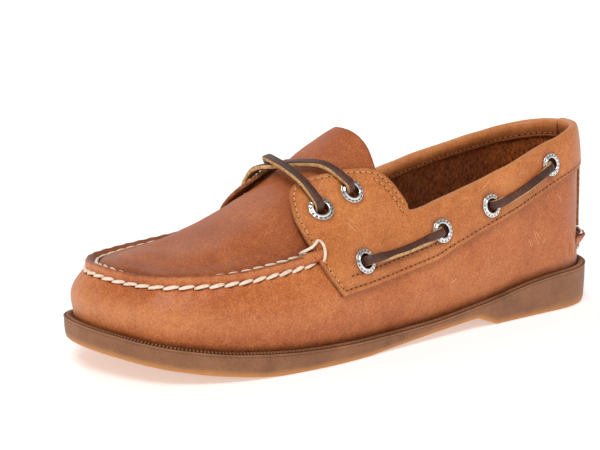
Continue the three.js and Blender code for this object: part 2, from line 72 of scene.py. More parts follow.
class Slot(Enum):
    """The record's material slots."""

    TAN = "tan_leather"
    EYESTAY = "eyestay_leather"
    INSOLE = "insole_leather"
    SUEDE = "suede_lining"
    RAWHIDE = "rawhide_lace"
    THREAD = "waxed_thread"
    RUBBER = "gum_rubber"
    METAL = "eyelet_metal"


# ---- the last


@dataclass(frozen=True)
class Section:
    """A section of the last: its plane stands at `spine`, turned by `ray` degrees from straight back."""

    spine: float
    ray: float
    sway: float
    lateral: float
    medial: float
    swell: float
    rise: float
    lean: float
    shoulder: float


SECTIONS = (
    Section(111, 0, 0, 35.5, 35.5, -1.2, 22, 3.0, 92),
    Section(111, 45, 0, 34.5, 35.0, -1.0, 22, 3.6, 90),
    Section(104, 90, 0, 36.0, 35.5, 0.4, 22, 4.8, 84),
    Section(70, 90, 0, 38.0, 34.5, 1.8, 22, 3.5, 76),
    Section(30, 90, 1, 42.0, 33.0, 2.6, 21, 4.5, 66),
    Section(-10, 90, 2.5, 48.0, 38.0, 3.0, 20, 9.0, 61),
    Section(-48, 90, 3.5, 54.0, 47.0, 3.0, 18, 5.5, 49.5),
    Section(-80, 93, 4, 54.0, 50.5, 2.6, 17, 7.5, 46),
    Section(-97, 122, 6, 51.5, 50.0, 1.6, 15, 8.5, 44.5),
    Section(-98, 152, 8, 49.5, 50.0, 0.4, 13, 9.5, 44.5),
    Section(-98, 180, 9, 50.0, 50.0, 0.2, 12, 10.0, 45.5),
)


class Curve:
    """A smooth curve without overshoot through the rows (x, y) of a short table."""

    def __init__(self, *rows: tuple[float, float]) -> None:
        """Keeps the rows, which rise in x."""
        self.x, self.y = np.array(rows, float).T

    def __call__(self, x: Array | float) -> Array:
        """The curve's value at x.

        Args:
            x: Where to read it.

        Returns:
            The value at each x.
        """
        x = np.asarray(x, float)
        slope = np.diff(self.y) / np.diff(self.x)
        product = slope[:-1] * slope[1:]
        total = np.where(product <= 0, 1, slope[:-1] + slope[1:])
        tangent = np.concatenate([slope[:1], np.where(product <= 0, 0, 2 * product / total), slope[-1:]])
        i = np.clip(np.searchsorted(self.x, x, side="right") - 1, 0, len(self.x) - 2)
        width = self.x[i + 1] - self.x[i]
        t = np.clip((x - self.x[i]) / width, 0, 1)
        ease = t * t * (3 - 2 * t)
        bend = t * (1 - t) ** 2 * tangent[i] - t * t * (1 - t) * tangent[i + 1]
        return self.y[i] * (1 - ease) + self.y[i + 1] * ease + bend * width


CROWN = Curve((-110, 53), (-98, 56.5), (-72, 65.5), (-48, 77.5), (-24, 95), (-8, 103), (40, 118), (112, 128))
DECK = Curve(
    (-150, 23), (-135, 19.2), (-120, 16), (-97, 12.4), (-60, 9.3), (-20, 8.2), (10, 8.6), (47, 12), (89, 18.2),
    (112, 20), (150, 20.6),
)
GROUND = Curve((-150, 13), (-138, 10), (-124, 6.8), (-110, 4.1), (-96, 2), (-84, 0.5), (-76, 0), (-28, 0))
TOPLINE = {
    Side.LATERAL: Curve((9, 62.4), (26, 66.4), (50, 72.6), (78, 80.2), (104, 88), (130, 94.2), (145, 96)),
    Side.MEDIAL: Curve((9, 67.5), (26, 72.8), (50, 78.6), (78, 84), (104, 88.4), (130, 93), (145, 96)),
}
BAND_FOOT = Curve(
    (-45.5, 30.5), (-21, 32.5), (0, 35.3), (17, 38), (28, 41.4), (49, 47.6), (70, 53.6), (93, 61.2), (115, 68.5),
    (135, 73), (160, 75),
)


def blend(a: Array, b: Array, c: Array, d: Array, t: Array) -> Array:
    """Catmull-Rom value at t, 0 to 1, between b and c."""
    cubic = 3 * b - a - 3 * c + d
    return 0.5 * (2 * b + (c - a) * t + (2 * a - 5 * b + 4 * c - d) * t**2 + cubic * t**3)


def unit(vectors: Array) -> Array:
    """The vectors at length 1."""
    return vectors / np.maximum(np.linalg.norm(vectors, axis=-1, keepdims=True), 1e-12)


def smooth(low: float, high: float, x: Array) -> Array:
    """0 below low, 1 above high, and an easy climb between them."""
    t = np.clip((x - low) / (high - low), 0, 1)
    return t * t * (3 - 2 * t)


def bell(x: Array, width: float) -> Array:
    """1 where x is 0, and less away from it, over about `width` either way."""
    return np.exp(-((x / width) ** 2))


def travelled(line: Array) -> Array:
    """How far along a line each of its points is."""
    return np.concatenate([[0], np.cumsum(np.linalg.norm(np.diff(line, axis=0), axis=1))])


class Last:
    """The form that the upper is made on."""

    WELT = 4.5
    HAUNCH = (0.55, 0.76)
    COLUMNS = ("spine", "ray", "sway", "reach", "swell", "rise", "lean", "shoulder")
    TOE = len(SECTIONS) - 1
    ROUND = 2 * TOE

    def __init__(self) -> None:
        """Reads the sections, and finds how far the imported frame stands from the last."""
        self.rows = {
            name: np.array([getattr(s, name) for s in SECTIONS], float) for name in Section.__dataclass_fields__
        }
        self.shift = np.zeros(3)
        u = np.linspace(0, self.ROUND, 1201)
        edge = self.rim(u, 0.3)
        low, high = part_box("outsole")
        middle = (np.array(low) + np.array(high)) * 500
        self.shift = np.array([*(middle[:2] - (edge.min(0)[:2] + edge.max(0)[:2]) / 2), 0.0])
        self._sample()

    def metres(self, points: Array) -> Array:
        """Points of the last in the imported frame, in metres."""
        return (np.asarray(points) + self.shift) * 0.001

    def _row(self, k: Array, name: str) -> Array:
        """The value of a column at section k, counted round the last.

        Args:
            k: The sections' numbers.
            name: The column.

        Returns:
            The column's value for each.
        """
        index = np.mod(k, self.ROUND)
        medial = index > self.TOE
        source = np.where(medial, self.ROUND - index, index)
        if name == "reach":
            return np.where(medial, self.rows["medial"][source], self.rows["lateral"][source])
        if name == "ray":
            ray = self.rows["ray"][source]
            return np.floor_divide(k, self.ROUND) * 360 + np.where(medial, 360 - ray, ray)
        return self.rows[name][source]

    def section(self, u: Array) -> dict[str, Array]:
        """The section at u, by column."""
        k = np.floor(u).astype(int)
        return {n: blend(*(self._row(k + i, n) for i in (-1, 0, 1, 2)), u - k) for n in self.COLUMNS}

    @staticmethod
    def place(section: dict[str, Array], reach: Array, z: Array) -> Array:
        """Points at `reach` from the spine in each section's plane.

        Args:
            section: The sections.
            reach: How far from the spine, for each.
            z: How high.

        Returns:
            The points.
        """
        ray = np.radians(section["ray"])
        x = section["spine"] + reach * np.cos(ray)
        y = section["sway"] - reach * np.sin(ray)
        return np.stack(np.broadcast_arrays(x, y, z), -1)

    def rim(self, u: Array, inside: Array | float, z: Array | float = 0.0) -> Array:
        """Points of the outsole's edge, `inside` its outline."""
        section = self.section(np.asarray(u, float))
        return self.place(section, section["reach"] - inside, z)

    def form(self, u: Array, v: Array) -> Array:
        """Points of the form.

        Args:
            u: Places round the last.
            v: Places up it.

        Returns:
            The points.
        """
        u, v = np.broadcast_arrays(np.asarray(u, float), np.asarray(v, float))
        s = self.section(u)
        cos = np.cos(np.radians(s["ray"]))
        foot = s["reach"] - self.WELT
        deck = DECK(s["spine"] + foot * cos)
        crown = CROWN(s["spine"])
        slope = CROWN(s["spine"] + 0.5) - CROWN(s["spine"] - 0.5)
        shoulder = foot - s["lean"]
        haunch = shoulder * self.HAUNCH[0]
        haunch_z = s["shoulder"] + (crown - s["shoulder"]) * self.HAUNCH[1]
        reach = np.stack([foot - s["swell"], foot, foot + s["swell"], shoulder, haunch, 0 * haunch, -haunch])
        z = np.stack(
            [deck - s["rise"], deck, deck + s["rise"], s["shoulder"], haunch_z, crown,
             haunch_z - 2 * haunch * slope * cos]
        )
        k = np.clip(np.floor(v * 4).astype(int), 0, 3)
        t = v * 4 - k
        take = lambda rows, n: np.take_along_axis(rows, (k + n)[None], 0)[0]
        out = [blend(*(take(rows, n) for n in range(4)), t) for rows in (reach, z)]
        return self.place(s, out[0], out[1])

    def outward(self, u: Array, v: Array) -> Array:
        """The way out of the form.

        Args:
            u: Places round the last.
            v: Places up it.

        Returns:
            The normals, of length 1.
        """
        u, v = np.broadcast_arrays(np.asarray(u, float), np.asarray(v, float))
        h = 1e-3
        v = np.minimum(v, 1 - 2 * h)
        round_ = self.form(u + h, v) - self.form(u - h, v)
        up = self.form(u, v + h) - self.form(u, v - h)
        return unit(np.cross(up, round_))

    def offset(self, u: Array, v: Array, out: Array | float) -> Array:
        """Points `out` from the form along its normal."""
        out = np.broadcast_to(out, np.broadcast(u, v).shape)
        return self.form(u, v) + self.outward(u, v) * out[..., None]

    def steps(self, u: Array, v: Array) -> tuple[Array, Array]:
        """How far the form goes for a unit of u and for a unit of v.

        Args:
            u: Places round the last.
            v: Places up it.

        Returns:
            The two steps, as vectors.
        """
        h = 1e-3
        along = (self.form(u + h, v) - self.form(u - h, v)) / (2 * h)
        up = (self.form(u, v + h) - self.form(u, v - h)) / (2 * h)
        return along, up

    def moved(self, u: Array, v: Array, by: Array) -> tuple[Array, Array]:
        """u and v after a short walk `by`, given in space, over the form.

        Args:
            u: Places round the last.
            v: Places up it.
            by: The walk from each place.

        Returns:
            The new u and v.
        """
        along, up = self.steps(u, v)
        aa, ab, bb = (along * along).sum(-1), (along * up).sum(-1), (up * up).sum(-1)
        a, b = (along * by).sum(-1), (up * by).sum(-1)
        det = aa * bb - ab * ab
        return u + (a * bb - b * ab) / det, v + (b * aa - a * ab) / det

    def v_where(self, u: Array, test: Callable[[Array], Array], low: float = 0.05, high: float = 0.95) -> Array:
        """The v at each u where test(points) turns from below 0 to above it.

        Args:
            u: Places round the last.
            test: A value for each point.
            low: The lowest v looked at.
            high: The highest.

        Returns:
            The v for each u.
        """
        u = np.asarray(u, float)
        lows, highs = np.full(u.shape, low), np.full(u.shape, high)
        for _ in range(30):
            middle = (lows + highs) / 2
            below = test(self.form(u, middle)) < 0
            lows, highs = np.where(below, middle, lows), np.where(below, highs, middle)
        return (lows + highs) / 2

    def topline(self, u: Array) -> Array:
        """The v of the collar's edge at each u."""
        sides = [self.v_where(u, lambda p, c=TOPLINE[s]: p[..., 2] - c(p[..., 0])) for s in Side]
        return np.where(np.mod(u, self.ROUND) > self.TOE, sides[1], sides[0])

    def at_height(self, u: Array, z: float) -> Array:
        """The v of a height z at each u, low on the form."""
        return self.v_where(u, lambda p: p[..., 2] - z, 0.0, 0.5)

    def _sample(self) -> None:
        """Lays a fine net over the top of the form, for finding places from above."""
        u, v = np.meshgrid(np.linspace(3.5, 16.5, 520), np.linspace(0.3, 0.997, 170))
        clear = (v < 0.975) | (np.abs(u - self.TOE) > 3.4)
        u, v = u[clear], v[clear]
        self.net = self.form(u, v).reshape(-1, 3)
        self.net_normals = self.outward(u, v).reshape(-1, 3)
        self.tree = kdtree.KDTree(len(self.net))
        for i, (x, y, _) in enumerate(self.net):
            self.tree.insert((x, y, 0), i)
        self.tree.balance()

    def above(self, x: Array, y: Array) -> tuple[Array, Array]:
        """Points and normals of the form over x and y.

        Args:
            x: How far back each place is.
            y: How far to the medial side.

        Returns:
            The points, and the normals.
        """
        flat = np.stack([np.ravel(x), np.ravel(y)], -1)
        found = np.array([self.tree.find((a, b, 0))[1] for a, b in flat])
        near, normal = self.net[found], self.net_normals[found]
        rise = -((flat - near[:, :2]) * normal[:, :2]).sum(1) / normal[:, 2]
        points = np.column_stack([flat, near[:, 2] + rise])
        return points, normal


LAST = Last()


def on_side(side: Side, u: Array | float) -> Array | float:
    """u on a side of the shoe, from u by way of the lateral side; or back again."""
    return u if side is Side.LATERAL else LAST.ROUND - u


def by_lateral(u: Array) -> Array:
    """u on whichever side, as the u of the same place on the lateral side."""
    return LAST.TOE - np.abs(np.mod(u, LAST.ROUND) - LAST.TOE)


# ---- lines and meshes


def polyline(points: Iterable[Sequence[float]], spacing: float, ends: bool = True) -> Array:
    """A smooth line through points of any dimension, at an even spacing.

    Args:
        points: The points that it passes through.
        spacing: About how far apart the made points lie, in the points' own units.
        ends: Keeps the last point; False leaves it out, for lines that are joined.

    Returns:
        The points of the line, a row each.
    """
    p = np.array(list(points), float)
    padded = np.vstack([2 * p[0] - p[1], p, 2 * p[-1] - p[-2]])
    t = np.linspace(0, 1, 24, endpoint=False)[:, None]
    fine = [blend(*(padded[i + n] for n in range(4)), t) for i in range(len(p) - 1)]
    return even(np.vstack([*fine, p[-1:]]), spacing, ends)


def even(line: Array, spacing: float, ends: bool = True, measure: Array | None = None) -> Array:
    """The line at an even spacing, measured along itself or along `measure`.

    Args:
        line: The line's points.
        spacing: How far apart the new points lie.
        ends: Whether the last point is kept.
        measure: The line that the spacing is measured on, if another.

    Returns:
        The new points.
    """
    run = travelled(line if measure is None else measure)
    count = max(1, round(run[-1] / spacing))
    at = np.linspace(0, run[-1], count + 1)[: None if ends else -1]
    return np.column_stack([np.interp(at, run, column) for column in line.T])


def build(
    name: str,
    points: Array,
    faces: Sequence[Sequence[int]],
    finishes: Sequence[Material],
    slot: Slot,
    tone: Sequence[float] | None = None,
    which: Array | None = None,
    stands_for: Sequence[str] = (),
) -> bpy.types.Object:
    """Makes a piece that rides on the shoe.

    Args:
        name: The piece's name.
        points: Its vertices on the last, in millimetres.
        faces: The vertices of each face.
        finishes: Its materials.
        slot: The record's slot for the piece; not used.
        tone: How light, above 0, or dark, below it, each vertex is; the last ones may be left out at 0.
        which: The material of each face, where there are several.
        stands_for: The CAD nodes that it replaces.

    Returns:
        The new object.
    """
    mesh = bpy.data.meshes.new(name)
    mesh.from_pydata(LAST.metres(points).tolist(), [], [list(map(int, f)) for f in faces])
    for finish in finishes:
        mesh.materials.append(finish)
    if which is not None:
        mesh.polygons.foreach_set("material_index", np.asarray(which, np.int32))
    shades = np.zeros(len(points), np.float32)
    if tone is not None:
        shades[: len(tone)] = tone
    mesh.attributes.new("tone", "FLOAT", "POINT").data.foreach_set("value", shades)
    mesh.shade_smooth()
    mesh.update()
    piece = bpy.data.objects.new(name, mesh)
    bpy.context.scene.collection.objects.link(piece)
    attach(piece, "root")
    if stands_for:
        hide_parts(*stands_for)
    LOG.info("%s: %d vertices, %d faces", name, len(points), len(faces))
    return piece


def grid_faces(
    rows: int, columns: int, closed: bool = False, flip: bool = False, joined: bool = False, lids: bool = False
) -> Faces:
    """The quads of a grid.

    Args:
        rows: How many rows of vertices there are.
        columns: How many vertices are in a row.
        closed: Whether the last column meets the first.
        flip: Whether the faces are turned over.
        joined: Whether the last row meets the first.
        lids: Whether the tube's two ends are shut.

    Returns:
        The vertices of each face.
    """
    faces = []
    for r in range(rows if joined else rows - 1):
        below = (r + 1) % rows
        for c in range(columns if closed else columns - 1):
            d = (c + 1) % columns
            faces.append((r * columns + c, r * columns + d, below * columns + d, below * columns + c))
    if lids:
        stop, over, step = (columns, (rows - 1) * columns, 1) if closed else (rows * columns, columns - 1, columns)
        first = tuple(range(0, stop, step))
        last = tuple(i + over for i in first)
        faces += [first[::-1], last] if closed else [first, last[::-1]]
    return [face[::-1] for face in faces] if flip else faces


class Batch:
    """Many small solids that are joined into one mesh."""

    def __init__(self) -> None:
        """Starts empty."""
        self.points: list[Array] = []
        self.faces: Faces = []
        self.which: list[int] = []
        self.count = 0

    def add(self, points: Array, faces: Faces, which: int | Sequence[int] = 0) -> None:
        """Adds one solid.

        Args:
            points: Its vertices.
            faces: The vertices of each face.
            which: The number of its material, or one for each face.
        """
        self.points.append(points)
        self.faces += [tuple(i + self.count for i in face) for face in faces]
        self.which += np.broadcast_to(which, len(faces)).tolist()
        self.count += len(points)

    def strand(
        self,
        line: Array,
        radius: Array,
        up: Array | None = None,
        flat: float = 1.0,
        sides: int = 8,
        which: int = 0,
    ) -> None:
        """Adds a round or oval strand with closed ends.

        Args:
            line: The points of its middle.
            radius: Its radius at each of them.
            up: The way that its flat side faces at each of them.
            flat: Its thickness along `up` as a share of its width.
            sides: How many faces go round it.
            which: The number of its material.
        """
        run = unit(np.gradient(line, axis=0))
        up = np.broadcast_to((0.0, 0.0, 1.0) if up is None else up, line.shape)
        across = unit(np.cross(up, run))
        rise = np.cross(run, across)
        angle = np.arange(sides) * 2 * math.pi / sides
        cos, sin = np.cos(angle)[None, :, None], (np.sin(angle) * flat)[None, :, None]
        ring = across[:, None] * cos + rise[:, None] * sin
        rings = line[:, None] + ring * np.broadcast_to(radius, len(line))[:, None, None]
        points = np.vstack([rings.reshape(-1, 3), line[:1], line[-1:]])
        faces = grid_faces(len(line), sides, closed=True)
        last = (len(line) - 1) * sides
        caps = [((i + 1) % sides, i, len(points) - 2) for i in range(sides)]
        caps += [(last + i, last + (i + 1) % sides, len(points) - 1) for i in range(sides)]
        self.add(points, faces + caps, which)

    def build(self, name: str, finishes: Sequence[Material], slot: Slot, **more: object) -> bpy.types.Object:
        """Makes the joined piece."""
        return build(name, np.vstack(self.points), self.faces, finishes, slot, which=np.array(self.which), **more)


# ---- finishes


def paint(red: float, green: float, blue: float) -> tuple[float, float, float, float]:
    """A display colour, each part 0 to 255, as a shader's colour."""
    parts = [c / 255 for c in (red, green, blue)]
    return (*(c / 12.92 if c <= 0.04045 else ((c + 0.055) / 1.055) ** 2.4 for c in parts), 1.0)


class Shader:
    """A material under construction, with short ways to add its nodes."""

    def __init__(self, name: str) -> None:
        """Starts from a Principled surface, placed by the object's own coordinates.

        Args:
            name: The material's name.
        """
        self.material = bpy.data.materials.new(name)
        self.material.use_nodes = True
        self.tree = self.material.node_tree
        self.surface = self.tree.nodes["Principled BSDF"]
        self.where = self.node("ShaderNodeTexCoord").outputs["Object"]

    def node(self, kind: str, inputs: dict | None = None, **settings: object) -> bpy.types.Node:
        """Adds a node; an input that is a socket is linked, and any other is set.

        Args:
            kind: The node's type.
            inputs: Its inputs, by name or number.
            settings: Its own settings.

        Returns:
            The node.
        """
        node = self.tree.nodes.new(kind)
        for key, value in settings.items():
            setattr(node, key, value)
        for key, value in (inputs or {}).items():
            self.put(node.inputs[key], value)
        return node

    def put(self, socket: bpy.types.NodeSocket, value: object) -> None:
        """Links or sets one socket, or leaves it alone where the value is None.

        Args:
            socket: The input.
            value: What it is given.
        """
        if isinstance(value, bpy.types.NodeSocket):
            self.tree.links.new(value, socket)
        elif value is not None:
            socket.default_value = value

    def finish(self, **inputs: object) -> Material:
        """Sets the surface's sockets, named with _ for a space, and gives the material.

        Args:
            inputs: What each socket is given.

        Returns:
            The material.
        """
        for key, value in inputs.items():
            self.put(self.surface.inputs[key.replace("_", " ")], value)
        return self.material

    def noise(self, scale: float, detail: float = 3, rough: float = 0.5, where: object = None) -> object:
        """Cloudy noise, 0 to 1."""
        inputs = {"Vector": where or self.where, "Scale": scale, "Detail": detail, "Roughness": rough}
        return self.node("ShaderNodeTexNoise", inputs).outputs[0]

    def stretched(self, x: float, y: float, z: float, turn: tuple[float, float, float] = (0, 0, 0)) -> object:
        """The object's coordinates, turned and scaled, for streaks."""
        inputs = {"Vector": self.where, "Scale": (x, y, z), "Rotation": turn}
        return self.node("ShaderNodeMapping", inputs).outputs[0]

    def cells(self, scale: float) -> object:
        """The distance from the middle of small cells, for grain and pores."""
        return self.node("ShaderNodeTexVoronoi", {"Vector": self.where, "Scale": scale}).outputs["Distance"]

    def ramp(self, value: object, *stops: tuple[float, tuple]) -> object:
        """A colour for each value.

        Args:
            value: The values.
            stops: Places on the ramp, each with its colour.

        Returns:
            The colours.
        """
        node = self.node("ShaderNodeValToRGB", {"Fac": value})
        points = node.color_ramp.elements
        while len(points) < len(stops):
            points.new(0.5)
        for point, (at, colour) in zip(points, stops):
            point.position, point.color = at, colour
        return node.outputs["Color"]

    def sum(self, *terms: tuple[object, float]) -> object:
        """The sum of sockets, each times its weight.

        Args:
            terms: Each socket with its weight.

        Returns:
            The sum.
        """
        total = None
        for socket, weight in terms:
            part = self.math("MULTIPLY", socket, weight)
            total = part if total is None else self.math("ADD", total, part)
        return total

    def math(self, operation: str, a: object, b: object = 0.0) -> object:
        """One sum on two values."""
        return self.node("ShaderNodeMath", {0: a, 1: b}, operation=operation).outputs[0]

    def span(self, value: object, low: float, high: float, start: float = 0.0, end: float = 1.0) -> object:
        """The value carried from low..high to start..end, and held there."""
        inputs = {"Value": value, "From Min": low, "From Max": high, "To Min": start, "To Max": end}
        return self.node("ShaderNodeMapRange", inputs).outputs[0]

    def mix(self, factor: object, a: object, b: object) -> object:
        """Two colours, mixed."""
        node = self.node("ShaderNodeMix", {0: factor, 6: a, 7: b}, data_type="RGBA")
        return node.outputs[2]

    def tone(self) -> object:
        """The piece's tone attribute: real dark seams and wear, and painted shade and painted highlights."""
        return self.node("ShaderNodeAttribute", attribute_name="tone").outputs["Fac"]

    def bump(self, height: object, strength: float, distance: float, under: object = None) -> object:
        """A normal roughened by a height, `distance` metres high, on top of another normal."""
        inputs = {"Height": height, "Strength": strength, "Distance": distance, "Normal": under}
        return self.node("ShaderNodeBump", inputs).outputs[0]


@dataclass(frozen=True)
class Leather:
    """Oiled full-grain leather: mottled, darker in seams and with painted shade, and lighter where wear or pulling
    shows and with painted highlights.
    """

    name: str
    dark: tuple
    mid: tuple
    light: tuple
    # The dark colour below is what a low tone mixes towards: real seams and burnished edges, and painted shade in
    # grooves, gaps and holes.
    seam: tuple = paint(84, 36, 18)
    # The light colour below is what a high tone and the scratches mix towards: real wear, and painted highlights.
    rubbed_and_highlight: tuple = paint(226, 160, 106)
    roughness: float = 0.44
    shine: float = 0.36
    grain: float = 0.3

    def material(self) -> Material:
        """Makes the material.

        Returns:
            The material.
        """
        s = Shader(self.name)
        clouds, blotches, specks = s.noise(26, 3, 0.55), s.noise(260, 4, 0.65), s.noise(1250, 2, 0.6)
        mottle = s.sum((clouds, 0.36), (blotches, 0.18), (specks, 0.46))
        colour = s.ramp(mottle, (0.38, self.dark), (0.5, self.mid), (0.62, self.light))
        tone = s.tone()
        # The tone holds real seams and wear and also painted shade and painted highlights; both are mixed in here.
        wear_and_light = s.math("ADD", tone, s.span(blotches, 0.3, 0.7, -0.06, 0.06))
        colour = s.mix(s.span(wear_and_light, -0.03, -1, 0, 1), colour, self.seam)
        colour = s.mix(s.span(wear_and_light, 0.03, 1, 0, 1), colour, self.rubbed_and_highlight)
        streaks = s.noise(1, 2, 0.4, s.stretched(900, 60, 420, (0.5, 0.7, 0.3)))
        nicks = s.math("MULTIPLY", s.span(streaks, 0.7, 0.78), s.span(clouds, 0.5, 0.62))
        colour = s.mix(s.math("MULTIPLY", nicks, 0.32), colour, self.rubbed_and_highlight)
        grain = s.sum((s.cells(1250), 0.55), (s.noise(2100, 2, 0.5), 0.3), (s.noise(420, 3, 0.6), 0.75))
        normal = s.bump(grain, self.grain, 0.00035, s.bump(s.noise(95, 3, 0.5), 0.22, 0.0012))
        polish = s.sum((blotches, 0.6), (specks, 0.4))
        rough = s.span(polish, 0.3, 0.7, self.roughness - 0.09, self.roughness + 0.11)
        return s.finish(Base_Color=colour, Roughness=rough, Normal=normal, Specular_IOR_Level=self.shine)


@dataclass(frozen=True)
class Suede:
    """Brushed suede, with fibres that lie in streaks."""

    name: str
    dark: tuple
    light: tuple

    def material(self) -> Material:
        """Makes the material.

        Returns:
            The material.
        """
        s = Shader(self.name)
        fibres = s.noise(1, 3, 0.75, s.stretched(900, 1100, 420, (0.4, 0.2, 0.6)))
        clouds = s.noise(240, 4, 0.7)
        value = s.sum((fibres, 0.7), (clouds, 0.3))
        colour = s.ramp(value, (0.36, self.dark), (0.64, self.light))
        normal = s.bump(s.sum((fibres, 0.7), (s.noise(2600, 2), 0.5)), 0.55, 0.0006)
        return s.finish(Base_Color=colour, Roughness=0.95, Normal=normal, Specular_IOR_Level=0.1,
                        Sheen_Weight=0.1, Sheen_Roughness=0.5)


@dataclass(frozen=True)
class CutEdge:
    """The raw edge of leather: layered fibres, tan to golden."""

    name: str
    dark: tuple
    light: tuple

    def material(self) -> Material:
        """Makes the material.

        Returns:
            The material.
        """
        s = Shader(self.name)
        fibres = s.noise(1700, 4, 0.7)
        layers = s.noise(380, 3, 0.6)
        colour = s.ramp(s.sum((fibres, 0.6), (layers, 0.4)), (0.38, self.dark), (0.6, self.light))
        normal = s.bump(fibres, 0.6, 0.0005)
        return s.finish(Base_Color=colour, Roughness=0.85, Normal=normal, Specular_IOR_Level=0.2)


@dataclass(frozen=True)
class Rubber:
    """Moulded gum rubber: cloudy, and clearer and more amber towards the ground, where tone is high, a painted
    glow of light through its edge; darker with painted shadow where tone is low.
    """

    name: str
    dark: tuple
    light: tuple
    amber: tuple

    def material(self) -> Material:
        """Makes the material.

        Returns:
            The material.
        """
        s = Shader(self.name)
        clouds = s.noise(55, 4, 0.6)
        dust = s.noise(1300, 3, 0.7)
        colour = s.ramp(s.sum((clouds, 0.6), (dust, 0.4)), (0.38, self.dark), (0.62, self.light))
        # Painted glow: a high tone mixes towards amber.
        colour = s.mix(s.span(s.math("ADD", s.tone(), s.span(clouds, 0, 1, -0.15, 0.15)), 0.08, 0.95), colour,
                       self.amber)
        # Painted shadow: a low tone mixes towards dark brown.
        shade = s.span(s.tone(), 0, -1, 0, 1)
        colour = s.mix(shade, colour, paint(48, 30, 20))
        normal = s.bump(s.sum((dust, 0.5), (s.noise(300, 3), 0.6)), 0.18, 0.0004)
        return s.finish(Base_Color=colour, Roughness=s.span(clouds, 0.3, 0.7, 0.5, 0.68), Normal=normal,
                        Specular_IOR_Level=0.35, Subsurface_Weight=0.08, Subsurface_Scale=0.003)


@dataclass(frozen=True)
class Metal:
    """Bright plated metal with fine rubbing marks."""

    name: str
    colour: tuple

    def material(self) -> Material:
        """Makes the material.

        Returns:
            The material.
        """
        s = Shader(self.name)
        marks = s.noise(900, 3, 0.7)
        tint = s.ramp(s.noise(420, 3), (0.3, tuple(c * 0.82 for c in self.colour[:3]) + (1,)), (0.7, self.colour))
        # A low tone mixes towards near black: the notches, and painted shade inside the barrel.
        tint = s.mix(s.span(s.tone(), 0, -1, 0, 1), tint, (0.05, 0.045, 0.04, 1))
        return s.finish(Base_Color=tint, Metallic=1.0, Roughness=s.span(marks, 0.3, 0.7, 0.12, 0.28),
                        Normal=s.bump(marks, 0.12, 0.0002))


@dataclass(frozen=True)
class Thread:
    """Waxed twisted thread."""

    name: str
    dark: tuple
    light: tuple

    def material(self) -> Material:
        """Makes the material.

        Returns:
            The material.
        """
        s = Shader(self.name)
        twist = s.noise(1, 2, 0.4, s.stretched(700, 700, 2400, (0.6, 0.9, 0.2)))
        colour = s.ramp(s.sum((twist, 0.7), (s.noise(260, 2), 0.3)), (0.36, self.dark), (0.58, self.light))
        return s.finish(Base_Color=colour, Roughness=0.62, Normal=s.bump(twist, 0.5, 0.0005),
                        Specular_IOR_Level=0.3, Sheen_Weight=0.15)


class Finishes:
    """Every material of the shoe."""

    def __init__(self) -> None:
        """Makes them all."""
        self.tan = Leather(
            "tan_leather", paint(160, 80, 38), paint(190, 105, 54), paint(210, 130, 74)
        ).material()
        self.plug = Leather(
            "plug_leather", paint(146, 74, 38), paint(172, 92, 50), paint(196, 116, 68), roughness=0.5, shine=0.26
        ).material()
        self.eyestay = Leather(
            "eyestay_leather", paint(174, 96, 46), paint(201, 119, 61), paint(220, 142, 82)
        ).material()
        self.flesh = Suede("leather_flesh_side", paint(58, 32, 18), paint(110, 66, 38)).material()
        self.lining = Suede("suede_lining", paint(72, 28, 7), paint(186, 100, 42)).material()
        self.cut = CutEdge("cut_edge", paint(110, 62, 36), paint(186, 126, 82)).material()
        self.lace = Leather(
            "rawhide_lace", paint(58, 34, 26), paint(80, 48, 38), paint(108, 68, 54), rubbed_and_highlight=paint(150, 104, 84),
            roughness=0.5,
        ).material()
        self.lace_edge = CutEdge("rawhide_edge", paint(164, 116, 68), paint(238, 196, 138)).material()
        self.sock = Leather(
            "insole_leather", paint(96, 52, 28), paint(122, 70, 40), paint(146, 90, 56)
        ).material()
        self.rubber = Rubber(
            "gum_rubber", paint(124, 80, 52), paint(158, 108, 74), paint(204, 140, 78)
        ).material()
        self.metal = Metal("eyelet_metal", (0.88, 0.87, 0.84, 1)).material()
        self.cream = Thread("waxed_thread", paint(228, 199, 168), paint(252, 235, 215)).material()
        self.thread = Thread("machine_thread", paint(196, 124, 66), paint(236, 174, 112)).material()
        # A darker copy of the machine thread, painted shade for thread that lies deep.
        self.shaded_thread = Thread("shaded_machine_thread", paint(138, 74, 36), paint(186, 112, 62)).material()
        self.scuff = CutEdge("rubbed_leather", paint(206, 140, 92), paint(232, 176, 132)).material()
        # Painted shade inside the needle holes.
        self.pinhole = CutEdge("needle_hole", paint(66, 28, 14), paint(100, 48, 25)).material()


# ---- patterns


class Chart:
    """A flat sheet of paper laid on the last: pattern pieces are drawn on it and then lifted off."""

    def lay(self, flat: Array) -> Array:
        """Points of the paper on the last."""
        raise NotImplementedError

    def lift(self, flat: Array, height: Array | float) -> Array:
        """Points `height` above the paper where the piece really lies."""
        raise NotImplementedError

    def inset(self, line: Array, distance: float, closed: bool = False) -> Array:
        """The line moved to its left by a distance in space.

        Args:
            line: The line, drawn on the paper.
            distance: How far it moves.
            closed: Whether its ends meet.

        Returns:
            The new line.
        """
        h = 0.05
        ring = np.vstack([line[-1:], line, line[:1]]) if closed else line
        run = np.gradient(self.lay(ring), axis=0)
        run = unit(run[1:-1] if closed else run)
        x = (self.lay(line + [h, 0]) - self.lay(line - [h, 0])) / (2 * h)
        y = (self.lay(line + [0, h]) - self.lay(line - [0, h])) / (2 * h)
        left = unit(np.cross(np.cross(x, y), run)) * distance
        xx, xy, yy = (x * x).sum(1), (x * y).sum(1), (y * y).sum(1)
        a, b = (x * left).sum(1), (y * left).sum(1)
        det = xx * yy - xy * xy
        return line + np.column_stack([(a * yy - b * xy) / det, (b * xx - a * xy) / det])

    def measured(self, line: Array, spacing: float, ends: bool = True) -> Array:
        """A line of the paper at an even spacing in space."""
        return even(line, spacing, ends, self.lay(line))


